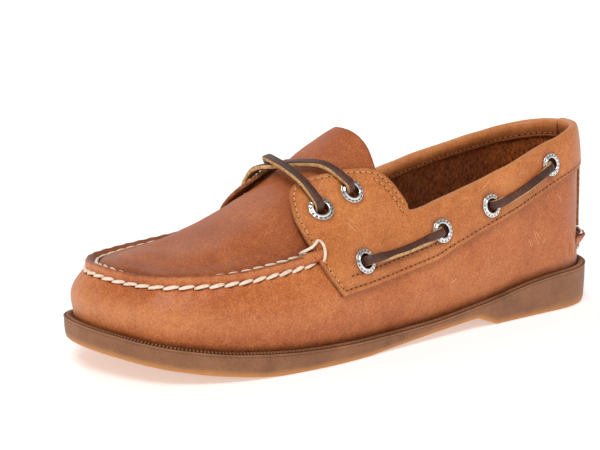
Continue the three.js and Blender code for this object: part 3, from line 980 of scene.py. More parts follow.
class LeatherChart(Chart):
    """Paper whose first way runs round the last and whose second runs up it."""

    HEIGHT = 90.0
    LEVEL = 0.45

    def __init__(self, low: float, high: float) -> None:
        """Rules the paper from u = low to u = high."""
        self.u = np.linspace(low, high, 1200)
        self.run = travelled(LAST.form(self.u, self.LEVEL))

    def draw(self, u: Array, v: Array) -> Array:
        """Places on the last as points of the paper."""
        return np.column_stack([np.interp(u, self.u, self.run), np.asarray(v) * self.HEIGHT])

    def read(self, flat: Array) -> tuple[Array, Array]:
        """Points of the paper as u and v."""
        return np.interp(flat[:, 0], self.run, self.u), flat[:, 1] / self.HEIGHT

    def lay(self, flat: Array) -> Array:
        """Points of the paper on the last."""
        return LAST.form(*self.read(flat))

    def lift(self, flat: Array, height: Array | float) -> Array:
        """Points above the paper."""
        return LAST.offset(*self.read(flat), height)


class CollarChart(LeatherChart):
    """Paper that turns over the topline into the shoe, in a soft roll."""

    RADIUS = 2.6
    CENTRE = -0.6

    def __init__(self, low: float, high: float, collar: tuple[float, float]) -> None:
        """Rules the paper; it rolls over where u is inside `collar`.

        Args:
            low: The u at one end.
            high: The u at the other.
            collar: The u where the roll starts and ends.
        """
        super().__init__(low, high)
        self.collar = collar
        self.edge = LAST.topline(self.u)
        self.rise = np.linalg.norm(LAST.steps(self.u, self.edge)[1], axis=1)

    def top(self, u: Array) -> tuple[Array, Array]:
        """The topline's v, and the millimetres in a unit of v there."""
        return np.interp(u, self.u, self.edge), np.interp(u, self.u, self.rise)

    def beyond(self, u: Array, distance: float) -> Array:
        """Points of the paper `distance` past the topline."""
        edge, rise = self.top(u)
        return self.draw(u, edge + distance / rise)

    def lift(self, flat: Array, height: Array | float) -> Array:
        """Points above the paper, rolled over the topline.

        Args:
            flat: Points of the paper.
            height: How far above it.

        Returns:
            The points on the last.
        """
        u, v = self.read(flat)
        height = np.broadcast_to(np.asarray(height, float), u.shape)
        edge, rise = self.top(u)
        past = np.where((u >= self.collar[0]) & (u <= self.collar[1]), (v - edge) * rise, -99)
        arm = height - self.CENTRE
        turn = np.clip((past + self.RADIUS) / self.RADIUS, 0, math.pi)
        down = np.maximum(past + self.RADIUS - math.pi * self.RADIUS, 0)
        w = np.where(past < -self.RADIUS, past, -self.RADIUS + arm * np.sin(turn) - down)
        n = np.where(past < -self.RADIUS, height, self.CENTRE + arm * np.cos(turn))
        return LAST.offset(u, np.where(past < -90, v, edge + w / rise), n)


class PlanChart(Chart):
    """Paper seen from above: x and y of the last."""

    def __init__(self, lift: Callable[[Array], Array]) -> None:
        """`lift` gives how high over the form the piece lies at each point."""
        self.over = lift

    def lay(self, flat: Array) -> Array:
        """Points of the paper on the last."""
        return LAST.above(flat[:, 0], flat[:, 1])[0]

    def lift(self, flat: Array, height: Array | float) -> Array:
        """Points above the paper, square to the form."""
        points, normals = LAST.above(flat[:, 0], flat[:, 1])
        return points + normals * np.reshape(self.over(flat) + height, (-1, 1))


def nearest(points: Array, line: Array) -> Array:
    """How far each point is from the nearest point of a line.

    Args:
        points: The points.
        line: Close points of the line.

    Returns:
        The distance for each point.
    """
    tree = kdtree.KDTree(len(line))
    for i, p in enumerate(line):
        tree.insert(p, i)
    tree.balance()
    return np.array([tree.find(p)[2] for p in points])


def inside(points: Array, loop: Array) -> Array:
    """Whether each flat point is inside a flat loop.

    Args:
        points: The points.
        loop: The loop's corners.

    Returns:
        True for each that is inside.
    """
    a, b = loop, np.roll(loop, -1, axis=0)
    x, y = points[:, :1], points[:, 1:]
    crosses = (a[:, 1] > y) != (b[:, 1] > y)
    with np.errstate(divide="ignore", invalid="ignore"):
        at = a[:, 0] + (y - a[:, 1]) * (b[:, 0] - a[:, 0]) / (b[:, 1] - a[:, 1])
    return (np.sum(crosses & (x < at), axis=1) % 2).astype(bool)


@dataclass
class Pattern:
    """A piece of leather cut out of a chart.

    Its outline runs so that the leather is on its left. Rings of points follow the outline and each hole,
    for the rounding of the cut edges, and an even net fills the rest.
    """

    chart: Chart
    outline: Array
    holes: Sequence[Array] = ()
    rows: Sequence[Array] = ()
    step: float = 1.5
    rings: tuple[float, ...] = (0.12, 0.32, 0.65, 1.2, 2.0)

    def __post_init__(self) -> None:
        """Fills the outline with triangles."""
        loops = [self.outline, *self.holes]
        edges, count = [], 0
        for loop in loops:
            edges += [(count + i, count + (i + 1) % len(loop)) for i in range(len(loop))]
            count += len(loop)
        rim = np.vstack([self.chart.lay(loop) for loop in loops])
        extra = [self.chart.inset(loop, d, closed=True) for loop in loops for d in self.rings]
        labels = [np.full(len(loop), d) for loop in loops for d in self.rings]
        for row in self.rows:
            for d in (-0.7, 0.0, 0.7):
                extra.append(self.chart.inset(row, d))
                labels.append(np.full(len(row), abs(d) + 0.3))
        extra, labels = np.vstack(extra), np.concatenate(labels)
        far = nearest(self.chart.lay(extra), rim)
        extra = extra[far > labels * 0.85]
        low, high = self.outline.min(0), self.outline.max(0)
        xs, ys = np.arange(low[0], high[0], self.step), np.arange(low[1], high[1], self.step)
        net = np.stack(np.meshgrid(xs, ys), -1)
        net[::2, :, 0] += self.step / 2
        net = net.reshape(-1, 2)
        net = net[inside(net, self.outline)]
        taken = np.vstack([rim, self.chart.lay(extra)])
        net = net[nearest(self.chart.lay(net), taken) > self.step * 0.62]
        flat = np.vstack([*loops, extra, net])
        made = geometry.delaunay_2d_cdt([Vector(p) for p in flat], edges, [], 0, 1e-5)
        self.flat = np.array([tuple(p) for p in made[0]])
        faces = np.array([f for f in made[2] if len(f) == 3])
        centre = self.flat[faces].mean(1)
        keep = inside(centre, self.outline)
        for hole in self.holes:
            keep &= ~inside(centre, hole)
        self.faces = faces[keep]
        used, back = np.unique(self.faces, return_inverse=True)
        self.flat, self.faces = self.flat[used], back.reshape(-1, 3)
        self.edge = nearest(self.chart.lay(self.flat), self._dense(loops))

    def _dense(self, loops: Sequence[Array]) -> Array:
        """The cut edges as close points in space."""
        closed = [np.vstack([loop, loop[:1]]) for loop in loops]
        return np.vstack([even(self.chart.lay(loop), 0.3) for loop in closed])

    def groove(self, lines: Sequence[Array], relief: Array, tone: Array, shade: float) -> None:
        """Pulls the leather in along its rows of stitches, and darkens the grooves with painted shade.

        Args:
            lines: The rows, drawn on the chart.
            relief: The height added at each vertex, which is changed.
            tone: The tone of each vertex, which is changed.
            shade: How dark the painted shade in the grooves is.
        """
        laid = self.chart.lay(self.flat)
        for line in lines:
            away = nearest(laid, even(self.chart.lay(line), 0.3))
            relief -= 0.24 * bell(away, 0.75)
            tone -= shade * bell(away, 0.8)

    def solid(self, base: float, thickness: float, relief: Array | float = 0.0, edge: float = 0.6) -> tuple:
        """The piece as a closed solid.

        Args:
            base: How high its underside lies.
            thickness: The leather's thickness.
            relief: What is added to its face at each vertex.
            edge: The radius of its rounded edges.

        Returns:
            Its points, its faces, and for each face 0 on top, 1 at its cut edge or 2 underneath.
        """
        short = np.clip(edge - self.edge, 0, edge)
        height = base + thickness - edge + np.sqrt(edge**2 - short**2) + relief
        top, under = self.chart.lift(self.flat, height), self.chart.lift(self.flat, base)
        corners = self.chart.lift(self.flat[self.faces[:40]].reshape(-1, 2), 0.0).reshape(-1, 3, 3)
        higher = self.chart.lift(self.flat[self.faces[:40, 0]], 1.0) - corners[:, 0]
        normal = np.cross(corners[:, 1] - corners[:, 0], corners[:, 2] - corners[:, 0])
        faces = self.faces if (normal * higher).sum() > 0 else self.faces[:, ::-1]
        directed = np.vstack([faces[:, [0, 1]], faces[:, [1, 2]], faces[:, [2, 0]]])
        known = {tuple(e) for e in directed.tolist()}
        rim = sorted((a, b) for a, b in known if (b, a) not in known)
        n = len(self.flat)
        walls = [(b, a, a + n, b + n) for a, b in rim]
        everything = faces.tolist() + walls + (faces[:, ::-1] + n).tolist()
        which = np.repeat([0, 1, 2], [len(faces), len(walls), len(faces)])
        return np.vstack([top, under]), everything, which


# ---- sewing


LEATHER_RIPPLE = 0.22
VAMP_RIPPLE = 0.28
WAVES = ((0.11, 0.07, 0.05, 0.3), (-0.06, 0.13, 0.09, 1.7), (0.17, -0.05, 0.14, 2.9), (0.05, 0.21, -0.16, 4.4))


def ripple(points: Array, size: float) -> Array:
    """The slight unevenness of leather, as a height at each point."""
    return size * sum(np.sin(points @ np.array(w[:3]) * 1.6 + w[3]) for w in WAVES) / len(WAVES)


@dataclass
class MachineSewing:
    """The machine stitches of the whole shoe: thread between needle holes."""

    pitch: float = 3.1
    radius: float = 0.4
    hole: float = 0.46
    thread: Batch = field(default_factory=Batch)
    holes: Batch = field(default_factory=Batch)

    def row(self, chart: Chart, line: Array, height: float, thread_on_top: bool = True) -> None:
        """Sews one row.

        Args:
            chart: The chart that the row is drawn on.
            line: The row's points on it.
            height: How high the leather's face lies.
            thread_on_top: Whether the thread shows, or lies deep between open needle holes in a darker copy of the
                thread, as painted shade.
        """
        places = chart.measured(line, self.pitch)
        share = np.array([0.1, 0.26, 0.5, 0.74, 0.9])
        rise = np.array([-0.3, 0.2, 0.3, 0.2, -0.3]) if thread_on_top else np.array([-0.35, -0.02, 0.06, -0.02, -0.35])
        thick = np.array([0.5, 0.95, 1, 0.95, 0.5]) * (self.radius if thread_on_top else self.radius * 0.9)
        for a, b in zip(places[:-1], places[1:]):
            flat = a + (b - a) * share[:, None]
            points = chart.lift(flat, height + rise + ripple(chart.lay(flat), LEATHER_RIPPLE))
            up = unit(chart.lift(flat, height + 1.0) - chart.lift(flat, height))
            self.thread.strand(points, thick, up, 0.8, 6, 0 if thread_on_top else 1)
        up = unit(chart.lift(places, height + 1.0) - chart.lift(places, height))
        centre = chart.lift(places, height + 0.04 + ripple(chart.lay(places), LEATHER_RIPPLE))
        run = unit(np.gradient(centre, axis=0))
        across = unit(np.cross(up, run))
        # Each needle hole is a dark disc of painted shade.
        angle = np.arange(8) * math.pi / 4
        well = grid_faces(2, 8, closed=True, lids=True)
        size = self.hole * (0.8 if thread_on_top else 1.25)
        for at, r, c in zip(centre, run, across):
            ring = at + size * (np.outer(np.cos(angle), r) + np.outer(np.sin(angle), c) * 0.85)
            self.holes.add(np.vstack([ring - 0.3 * np.cross(r, c), ring]), well)

    def build(self, finishes: Finishes) -> None:
        """Makes the joined meshes."""
        self.thread.build("machine_stitches", [finishes.thread, finishes.shaded_thread], Slot.THREAD)
        self.holes.build("needle_holes", [finishes.pinhole], Slot.EYESTAY)


@dataclass
class HandSewing:
    """Thick waxed thread, sewn by hand in slanted stitches."""

    radius: float = 0.86
    slant: float = 0.62
    thread: Batch = field(default_factory=Batch)
    rng: np.random.Generator = field(default_factory=lambda: np.random.default_rng(7))

    def row(self, line: Array, up: Array, pitch: float, slant: float = 1.0, size: float = 1.0) -> None:
        """Sews a row along points in space, with the way up at each of them.

        Args:
            line: The middle of the row.
            up: The way up at each of its points.
            pitch: How long a stitch is.
            slant: How the stitches lean, with a sign for the side.
            size: How thick the thread is, as a share of its usual size.
        """
        run_length = travelled(line)
        count = max(1, round(run_length[-1] / pitch))
        holes = np.linspace(0, run_length[-1], count + 1)
        at = lambda rows, s: np.column_stack([np.interp(s, run_length, column) for column in rows.T])
        share = np.linspace(-0.02, 1.02, 9)
        lens = np.sin(np.pi * np.linspace(0.08, 0.92, 9)) ** 0.5
        for a, b in zip(holes[:-1], holes[1:]):
            s = a + (b - a) * share
            points, normals = at(line, s), unit(at(up, s))
            run = unit(np.gradient(points, axis=0))
            across = unit(np.cross(normals, run))
            wobble = 1 + self.rng.normal(0, 0.05)
            lean = np.linspace(-1, 1, 9)[:, None] * self.slant * slant * wobble
            lift = (lens[:, None] - 0.72) * 0.9
            strand = points + across * lean + normals * lift
            self.thread.strand(strand, lens * self.radius * size * wobble, normals, 0.8, 10)

    def strand(self, points: Array, up: Array, size: float = 1.0) -> None:
        """Lays one length of thread through points.

        Args:
            points: The points that it passes through.
            up: The way up.
            size: How thick the thread is, as a share of its usual size.
        """
        line = polyline(points, 0.7)
        ends = np.minimum(1, 0.45 + np.minimum(np.arange(len(line)), np.arange(len(line))[::-1]) / 3)
        self.thread.strand(line, ends * self.radius * size, np.broadcast_to(up, line.shape), 0.85, 10)

    def build(self, finishes: Finishes) -> None:
        """Makes the joined mesh."""
        self.thread.build("hand_sewn_thread", [finishes.cream], Slot.THREAD)


# ---- parts


@dataclass
class Part:
    """A part of the shoe, dressed in the shoe's materials."""

    finishes: Finishes


@dataclass
class SewnPart(Part):
    """A part with rows of stitches, which are added to the shoe's sewing."""

    sewing: MachineSewing | HandSewing


# ---- the sole


def area(loop: Array) -> float:
    """The signed area of a flat loop."""
    x, y = loop.T
    return float((x * np.roll(y, -1) - y * np.roll(x, -1)).sum() / 2)


def even_u(count: int, v: float = 0.45) -> Array:
    """Values of u right round the last, evenly spaced in millimetres.

    Args:
        count: How many.
        v: The line that is measured.

    Returns:
        The values.
    """
    u = np.linspace(0, LAST.ROUND, 4001)
    run = travelled(LAST.form(u, v))
    return np.interp(np.linspace(0, run[-1], count, endpoint=False), run, u)


def run_along(u: Array, v: float) -> Array:
    """Millimetres along the line of that v, from u = 0.

    Args:
        u: Places round the last.
        v: The line that is measured.

    Returns:
        The distance for each u.
    """
    fine = np.linspace(-2, LAST.ROUND + 2, 4401)
    run = travelled(LAST.form(fine, v))
    return np.interp(u, fine, run - np.interp(0, fine, run))


@dataclass
class Outsole(Part):
    """The moulded gum-rubber outsole with its heel, arch and ribbed welt."""

    columns: int = 560
    arch: tuple = ((-28, 0.0), (45, 5.0), (48, 4.6), (60, 0.0), (131, 0.0), (140, 1.4), (150, 4.6))
    welt: tuple = (
        (0.22, -1.6), (0.42, -1.3), (0.42, -1.1), (0.05, -0.8), (-0.05, -0.5), (0.05, -0.2), (0.4, 0.0),
        (1.1, -0.12), (3.6, -0.15), (4.2, -0.9), (4.9, -1.0),
    )
    # Rows given painted light: painted shade in the welt's groove, a painted highlight along its top lip, and
    # painted shadow in the gap under the upper.
    groove_shade_rows: tuple[int, int] = (15, 17)
    lip_highlight_rows: tuple[int, int] = (17, 20)
    gap_shadow_rows: tuple[int, int | None] = (20, None)
    rib_pitch: float = 1.55
    rib_reach: tuple[float, float] = (0.9, 3.4)

    def ground(self, x: Array) -> Array:
        """The height of the tread at x."""
        rows = np.array(self.arch)
        return np.where(x < rows[0, 0], GROUND(x), np.interp(x, rows[:, 0], rows[:, 1]))

    def level(self, points: Array, share: float, rise: float) -> Array:
        """Puts points `rise` over a level that lies a share of the way from the tread to the deck.

        Args:
            points: The points, which are moved.
            share: The share.
            rise: How far over that level.

        Returns:
            The same points.
        """
        low, high = self.ground(points[:, 0]), DECK(points[:, 0])
        points[:, 2] = low + (high - low) * share + rise
        return points

    def build(self) -> None:
        """Makes the outsole and the ribs of its welt."""
        u = even_u(self.columns)
        section = LAST.section(u)
        core = lambda share: LAST.place(section, section["reach"] * share, 0.0)
        rings = [self.level(core(share), 0, 0) for share in (0.02, 0.25, 0.5, 0.72, 0.86)]
        rings += [self.level(LAST.rim(u, i), 0, r) for i, r in ((2.6, 0.0), (1.6, 0.1), (1.0, 0.5), (0.7, 1.3))]
        for share, bulge in ((0.0, 0.5), (0.2, 0.38), (0.45, 0.26), (0.7, 0.2), (0.92, 0.2)):
            rings.append(self.level(LAST.rim(u, bulge), share, 2.2 - 4 * share))
        rings += [self.level(LAST.rim(u, i), 1, r) for i, r in self.welt]
        rings += [self.level(core(share), 1, -0.6) for share in (0.72, 0.4, 0.02)]
        points = np.vstack(rings)
        # Tone: a painted glow of light near the ground, then painted shade, highlight and shadow on the rows named
        # above.
        tone = 1 - smooth(-0.5, 4.2, points[:, 2] - self.ground(points[:, 0]))
        for rows, shade in ((self.groove_shade_rows, -0.12), (self.lip_highlight_rows, 0.16), (self.gap_shadow_rows, -0.8)):
            tone.reshape(len(rings), -1)[slice(*rows)] = shade
        faces = grid_faces(len(rings), len(u), closed=True, flip=True, lids=True)
        build("outsole_gum", points, faces, [self.finishes.rubber], Slot.RUBBER, tone, stands_for=["outsole"])
        self.ribs()

    def ribs(self) -> None:
        """Makes the small ribs across the top of the welt."""
        u = even_u(round(run_along(np.array([20.0]), 0.05)[0] / self.rib_pitch), 0.05)
        ribs = Batch()
        reach = np.linspace(*self.rib_reach, 4)
        thick = np.array([0.4, 0.56, 0.56, 0.4])
        for one in u:
            points = LAST.rim(np.full(4, one), reach)
            points[:, 2] = DECK(points[:, 0]) + 0.18
            ribs.strand(points, thick, sides=6)
        ribs.build("welt_ribs", [self.finishes.rubber], Slot.RUBBER)


@dataclass
class Insole(Part):
    """The leather insole, dished a little towards its edge."""

    columns: int = 220
    lift: float = 3.8
    inside_wall: float = 2.7
    # Each ring: its share of the way out, its rise, and its tone, which darkens towards the rim with painted shade
    # from the walls.
    rings: tuple = (
        (0.02, 0, 0.05), (0.3, 0, 0.03), (0.6, 0, -0.02), (0.85, 0.1, -0.15), (0.95, 0.5, -0.4),
        (1.0, 1.4, -0.6), (1.0, -2.6, -0.8), (0.5, -2.6, -0.8), (0.02, -2.6, -0.8),
    )

    def build(self) -> None:
        """Makes the insole."""
        u = even_u(self.columns)
        section = LAST.section(u)
        foot = section["reach"] - LAST.WELT - self.inside_wall
        rings, tone = [], []
        for share, rise, shade in self.rings:
            points = LAST.place(section, foot * share, 0.0)
            points[:, 2] = DECK(points[:, 0]) + self.lift + rise
            rings.append(points)
            tone += [shade] * len(u)
        faces = grid_faces(len(rings), len(u), closed=True, lids=True)
        build("insole_sock", np.vstack(rings), faces, [self.finishes.sock], Slot.INSOLE, tone,
              stands_for=["insole"])


# ---- the upper


@dataclass(frozen=True)
class Seat:
    """Where an eyelet sits: its number from the front, its place on the last, and the way it faces."""

    side: Side
    number: int
    u: float
    v: float
    at: Array
    axis: Array


EYELETS = (
    (-43, 66.2, 5.8, 0.64), (-25, 72.8, 5.4, 0.64), (-28.8, 43.2, 5.5, 0.42), (22.2, 51, 4.2, 0.42),
    (55.5, 59.6, 3.3, 0.42), (101, 75.6, 2.1, 0.45),
)


def find_seats() -> list[Seat]:
    """Places every eyelet by its x and z, from about where it is in u and v.

    Returns:
        The seats of both sides.
    """
    seats = []
    for side in Side:
        for number, (x, z, u, v) in enumerate(EYELETS, 1):
            u = on_side(side, u)
            for _ in range(40):
                here = LAST.form(u, v)
                along, up = LAST.steps(u, v)
                miss = np.array([x - here[0], z - here[2]])
                step = np.linalg.solve(np.array([[along[0], up[0]], [along[2], up[2]]]), miss)
                u, v = u + np.clip(step[0], -0.4, 0.4), v + np.clip(step[1], -0.08, 0.08)
            seats.append(Seat(side, number, float(u), float(v), LAST.form(u, v), LAST.outward(u, v)))
    return seats


SEATS = find_seats()


@dataclass(frozen=True)
class MocSeam:
    """The hand-sewn seam round the plug: a raised ridge with a row of stitches on either side."""

    v: float = 0.479
    climbs: tuple = ((0.03, 7.5), (0.045, 8.4))
    start: float = 6.04
    full: float = 6.3
    pitch: float = 6.6
    outer: float = -3.7
    inner: float = 2.1
    crest: float = 1.2
    ridge: Curve = field(
        default_factory=lambda: Curve(
            (-9, 0), (-6, 0.0), (-4.7, -0.15), (-3.7, -0.6), (-2.9, 0.6), (-2.1, 1.7), (-1.3, 2.5), (-0.5, 2.9),
            (0.1, 2.8), (0.5, 2.2), (0.75, 1.1), (0.9, -0.4), (1.6, -2.0),
        )
    )

    def middle(self, u: Array) -> Array:
        """The v of the seam's middle at u: it climbs towards its ends."""
        lateral, medial = (climb * (1 - smooth(6.1, end, by_lateral(u))) for climb, end in self.climbs)
        return self.v + np.where(np.mod(u, LAST.ROUND) > LAST.TOE, medial, lateral)

    def amount(self, u: Array) -> Array:
        """How much of the ridge stands at u, 0 to 1."""
        return smooth(self.start, self.full, by_lateral(u))

    def rise(self, u: Array) -> Array:
        """Millimetres in a unit of v at the seam."""
        return np.linalg.norm(LAST.steps(u, self.middle(u))[1], axis=-1)

    def at(self, u: Array, across: Array | float) -> Array:
        """The v of a place `across` millimetres inside the seam's middle."""
        return self.middle(u) + across / self.rise(u)

    def beat(self, u: Array) -> Array:
        """1 at each needle hole of the seam and -1 halfway between."""
        return np.cos(run_along(u, self.v) * 2 * math.pi / self.pitch)

    def front(self, u: Array) -> Array:
        """1 where the seam turns from the lateral side to the toe, where it stands highest."""
        return bell(np.mod(u, LAST.ROUND) - 8.5, 1.2)

    def points(self, across: float, height: float, dip: float = 0.0) -> tuple[Array, Array]:
        """Points along the seam, lower by `dip` at its front, with the way up at each of them.

        Args:
            across: How far inside the seam's middle.
            height: How far over the form.
            dip: How much lower at the front.

        Returns:
            The points, and the way up at each.
        """
        u = np.linspace(6.2, 13.8, 500)
        v = self.at(u, across)
        return LAST.offset(u, v, height - dip * self.front(u)), LAST.outward(u, v)


@dataclass
class HeelSeam(SewnPart):
    """The hand-sewn ridge round the back of the heel: leather folded out and up into a lip."""

    z: float = 33.0
    turn: float = 1.27
    pitch: float = 6.4
    lip: tuple = (
        (-4.2, -0.9, -0.4), (-3.7, 0.5, -0.1), (-2.7, 1.5, 0.05), (-1.2, 2.6, 0.08), (0.4, 3.6, 0.05),
        (1.7, 4.3, -0.25), (2.6, 4.2, -0.7), (2.95, 3.5, -0.8), (2.5, 2.6, -0.8), (2.1, 1.2, -0.8),
        (2.2, -0.9, -0.8),
    )

    def build(self) -> None:
        """Makes the lip and sews it above and below."""
        u = np.linspace(-self.turn, self.turn, 150)
        v = LAST.at_height(u, self.z)
        middle, out, up = LAST.form(u, v), LAST.outward(u, v), unit(LAST.steps(u, v)[1])
        run = travelled(middle)
        left = np.minimum(run, run[-1] - run)
        full = 0.25 + 0.75 * smooth(0, 7, left)
        beat = np.cos(run * 2 * math.pi / self.pitch)
        rings, tones = [], []
        for across, rise, shade in self.lip:
            pinch = 1 - 0.07 * beat * (rise > 1)
            height = np.where(rise > 0, rise * full * pinch, rise)
            rings.append(middle + up * (across * (0.6 + 0.4 * full))[:, None] + out * height[:, None])
            tones.append(shade - 0.12 * beat)
        faces = grid_faces(len(rings), len(u), flip=True, joined=True, lids=True)
        tone = np.concatenate(tones)
        build("heel_seam_lip", np.vstack(rings), faces, [self.finishes.tan], Slot.TAN, tone)
        inner = slice(6, -6)
        self.sewing.row(middle[inner] - up[inner] * 4.3 + out[inner] * 0.75, out[inner], self.pitch, 0.8)
        self.sewing.row(middle[inner] + up[inner] * 3.2 + out[inner] * 2.35, out[inner], self.pitch, -0.8, 0.95)


@dataclass
class Vamp(SewnPart):
    """Vamp and quarters in one piece of leather, from the welt up to the seams."""

    seam: MocSeam
    columns: int = 860
    foot_rows: int = 34
    seam_step: float = 0.45
    ridge_foot: float = 9.0
    folds: tuple = (
        (1, 1.5, 0.03, 0.2, 0.045, 0.7), (1, 1.62, 0.05, 0.17, 0.035, -0.5), (1, 1.75, 0.06, 0.2, 0.05, 0.45),
        (1, 1.35, 0.02, 0.15, 0.04, -0.45), (-1, 1.52, 0.03, 0.2, 0.045, 0.7),
        (-1, 1.68, 0.05, 0.18, 0.04, -0.5),
    )
    thickness: float = -1.0

    def relief(self, u: Array, across: Array) -> Array:
        """The height of ridge and puckers, `across` millimetres inside the moc seam.

        Args:
            u: Places round the last.
            across: How far inside the seam's middle.

        Returns:
            The height for each place.
        """
        amount, beat = self.seam.amount(u), self.seam.beat(u)
        ridge = self.seam.ridge(across) * amount * (1 + 0.13 * self.seam.front(u))
        hole = bell(across - self.seam.outer, 1.3) * -0.35 * np.maximum(beat, 0)
        pucker = bell(np.minimum(across + 4.5, 0), 4.5) * 0.2 * -beat * (across < -4)
        swell = bell(across + 0.8, 1.6) * -0.18 * beat
        return ridge + (hole + pucker + swell) * amount

    def creases(self, u: Array, v: Array) -> Array:
        """Creases placed one by one: short folds where the leather is gathered under the heel seam.

        Args:
            u: Places round the last.
            v: Places up it.

        Returns:
            The height for each place.
        """
        total = np.zeros_like(u)
        for side, middle, low, high, width, depth in self.folds:
            turned = np.where(u > LAST.TOE, u - LAST.ROUND, u) * side
            lean = middle + (v - 0.12) * 0.8
            across = bell(turned - lean, width)
            total += across * smooth(low, low + 0.05, v) * (1 - smooth(high - 0.06, high, v)) * depth
        return total

    def build(self) -> None:
        """Makes the vamp and its hand-sewn outer row."""
        u = even_u(self.columns)
        rise = self.seam.rise(u)
        middle = self.seam.middle(u)
        start = middle - self.ridge_foot / rise
        rows = [start * t - 0.012 * (1 - t) for t in np.linspace(0, 1, self.foot_rows, endpoint=False)]
        across = np.arange(-self.ridge_foot, 2.1, self.seam_step)
        rows += [middle + a / rise for a in across]
        v = np.vstack(rows)
        turned = by_lateral(u)
        collar = turned < 4.75
        limit = np.where(collar, LAST.topline(np.where(collar, u, 0)) - 2.6 / rise, 1)
        squeeze = np.minimum((limit - start) / (v[-1] - start), 1)
        v = np.where(v > start, start + (v - start) * squeeze, v)
        uu = np.broadcast_to(u, v.shape)
        s = (v - middle) * rise
        amount, beat = self.seam.amount(uu), self.seam.beat(uu)
        base = LAST.form(uu, v)
        height = self.relief(uu, s) + self.creases(uu, v)
        height = height + ripple(base, VAMP_RIPPLE) * smooth(0.0, 0.12, v) * (1 - amount * smooth(-8, -4, s))
        points = LAST.offset(uu, v, height)
        back = LAST.offset(uu[::-2], v[::-2], self.thickness)
        # Painted shadow: darker at the foot, where the upper meets the sole.
        tone = -0.75 * (1 - smooth(-0.01, 0.075, v))
        # Painted shade in the valley along the outer row of stitches, darkest at each needle hole.
        tone -= amount * 0.55 * bell(s - self.seam.outer, 1.1) * (0.7 + 0.3 * beat)
        tone -= amount * 0.6 * smooth(-1.1, -0.1, s)
        tone += amount * 0.16 * bell(s + 1.6, 1.0)
        tone += 0.3 * (bell(uu - 9.2, 2.4) * bell(v - 0.2, 0.12))
        # Painted shade: darker where the vamp shows through each eyelet.
        for seat in SEATS:
            tone -= 1.2 * (1 - smooth(3.0, 3.9, np.linalg.norm(base - seat.at, axis=-1)))
        points, tone = np.vstack([points, back]), np.vstack([tone, tone[::-2]])
        faces = grid_faces(len(points), len(u), closed=True, flip=True, joined=True)
        build("vamp_and_quarters", points.reshape(-1, 3), faces, [self.finishes.tan], Slot.TAN, tone.ravel(),
              stands_for=["upper"])
        self.sewing.row(*self.seam.points(self.seam.outer, 0.35), self.seam.pitch, 1.0, 1.05)


@dataclass
class Plug(SewnPart):
    """The plug over the toes, in one piece with the tongue."""

    seam: MocSeam
    tongue_v: float = 0.53
    tongue_sides: tuple[float, float] = (6.02, 5.15)
    ends: tuple[float, float] = (6.02, 13.98)
    spine: float = 2.5
    close: float = 0.88
    rear: tuple = ((1.0, -13.5), (0.985, -9.0), (0.9, -6.2), (0.7, -5.2), (0.45, -7.2), (0.2, -9.8), (0.0, -10.8))
    sink: float = 2.45
    low: Curve = field(
        default_factory=lambda: Curve(
            (-136, 2.5), (-125, 3.6), (-115, 4.5), (-105, 5.1), (-96, 4.9), (-84, 3.3), (-76, 2.9), (-67, 2.5),
            (-58, 2.2), (-50, 2.2),
        )
    )
    thickness: float = 2.0

    def edge(self, side: Side) -> Array:
        """The plan of the tongue's side and half of its end, from the seam to its middle.

        Args:
            side: The side of the shoe.

        Returns:
            The points, seen from above.
        """
        u = on_side(side, np.linspace(*self.tongue_sides, 12))
        flank = LAST.form(u, self.tongue_v)[:, :2]
        half = flank[-1, 1] - self.spine
        end = np.array([(x, self.spine + half * share) for share, x in self.rear])
        return polyline(np.vstack([flank, end]), 1.5)

    def over(self, flat: Array) -> Array:
        """How high over the form the plug lies: low over the toes, and sunk under the eyestays as the tongue.

        Args:
            flat: Points seen from above.

        Returns:
            The height for each.
        """
        x, y = flat.T
        away = nearest(LAST.above(x, y)[0], self.gutter())
        tongue = smooth(-61, -50, x)
        return -self.sink * tongue - self.low(x) * smooth(0, 11, away) * (1 - tongue)

    def gutter(self) -> Array:
        """The line of the plug's own stitches."""
        u = np.linspace(*self.ends, 260)
        return even(LAST.form(u, self.seam.at(u, self.seam.inner)), 0.4)

    def build(self) -> None:
        """Makes plug and tongue, and sews the plug's row."""
        chart = PlanChart(self.over)
        u = np.linspace(*self.ends, 260)
        ring = even(LAST.form(u, self.seam.at(u, self.seam.crest - 0.9))[:, :2], 1.5)
        lateral, medial = self.edge(Side.LATERAL), self.edge(Side.MEDIAL)
        outline = np.vstack([ring[:-1], medial[:-1], lateral[::-1][:-1]])
        if area(outline) < 0:
            outline = outline[::-1]
        pattern = Pattern(chart, outline, step=1.35, rings=(0.15, 0.4, 0.8, 1.4, 2.1, 2.9, 3.8))
        inner = self.gutter()
        away = nearest(chart.lay(pattern.flat), inner)
        front = 1 - smooth(-58, -46, pattern.flat[:, 0])
        spot = nearest(chart.lay(pattern.flat), even(inner, self.seam.pitch * self.close))
        relief = -1.9 * bell(away, 4.2) * front - 0.35 * bell(spot, 1.5) * front
        relief += ripple(chart.lay(pattern.flat), 0.25)
        points, faces, which = pattern.solid(-self.thickness, self.thickness, relief, 0.7)
        # Painted shade in the gutter along the plug's stitches.
        tone = -0.5 * bell(away, 1.4) * front - 0.35 * (1 - front) * (1 - smooth(0.4, 1.4, pattern.edge))
        # Painted highlight over the middle of the plug, towards its rear.
        middle = bell(pattern.flat[:, 1] + 8, 11) * smooth(-88, -60, pattern.flat[:, 0])
        tone += 0.1 * middle * front
        # Painted shade over the plug's low front, within about 16 mm of its seam.
        tone -= 0.22 * (1 - smooth(2, 16, away)) * front
        leathers = [self.finishes.plug, self.finishes.cut, self.finishes.flesh]
        build("plug_and_tongue", points, faces, leathers, Slot.TAN, tone, which, stands_for=["tongue"])
        self.sewing.row(*self.seam.points(self.seam.inner, -1.1, 0.55), self.seam.pitch * self.close, -1.0, 0.85)


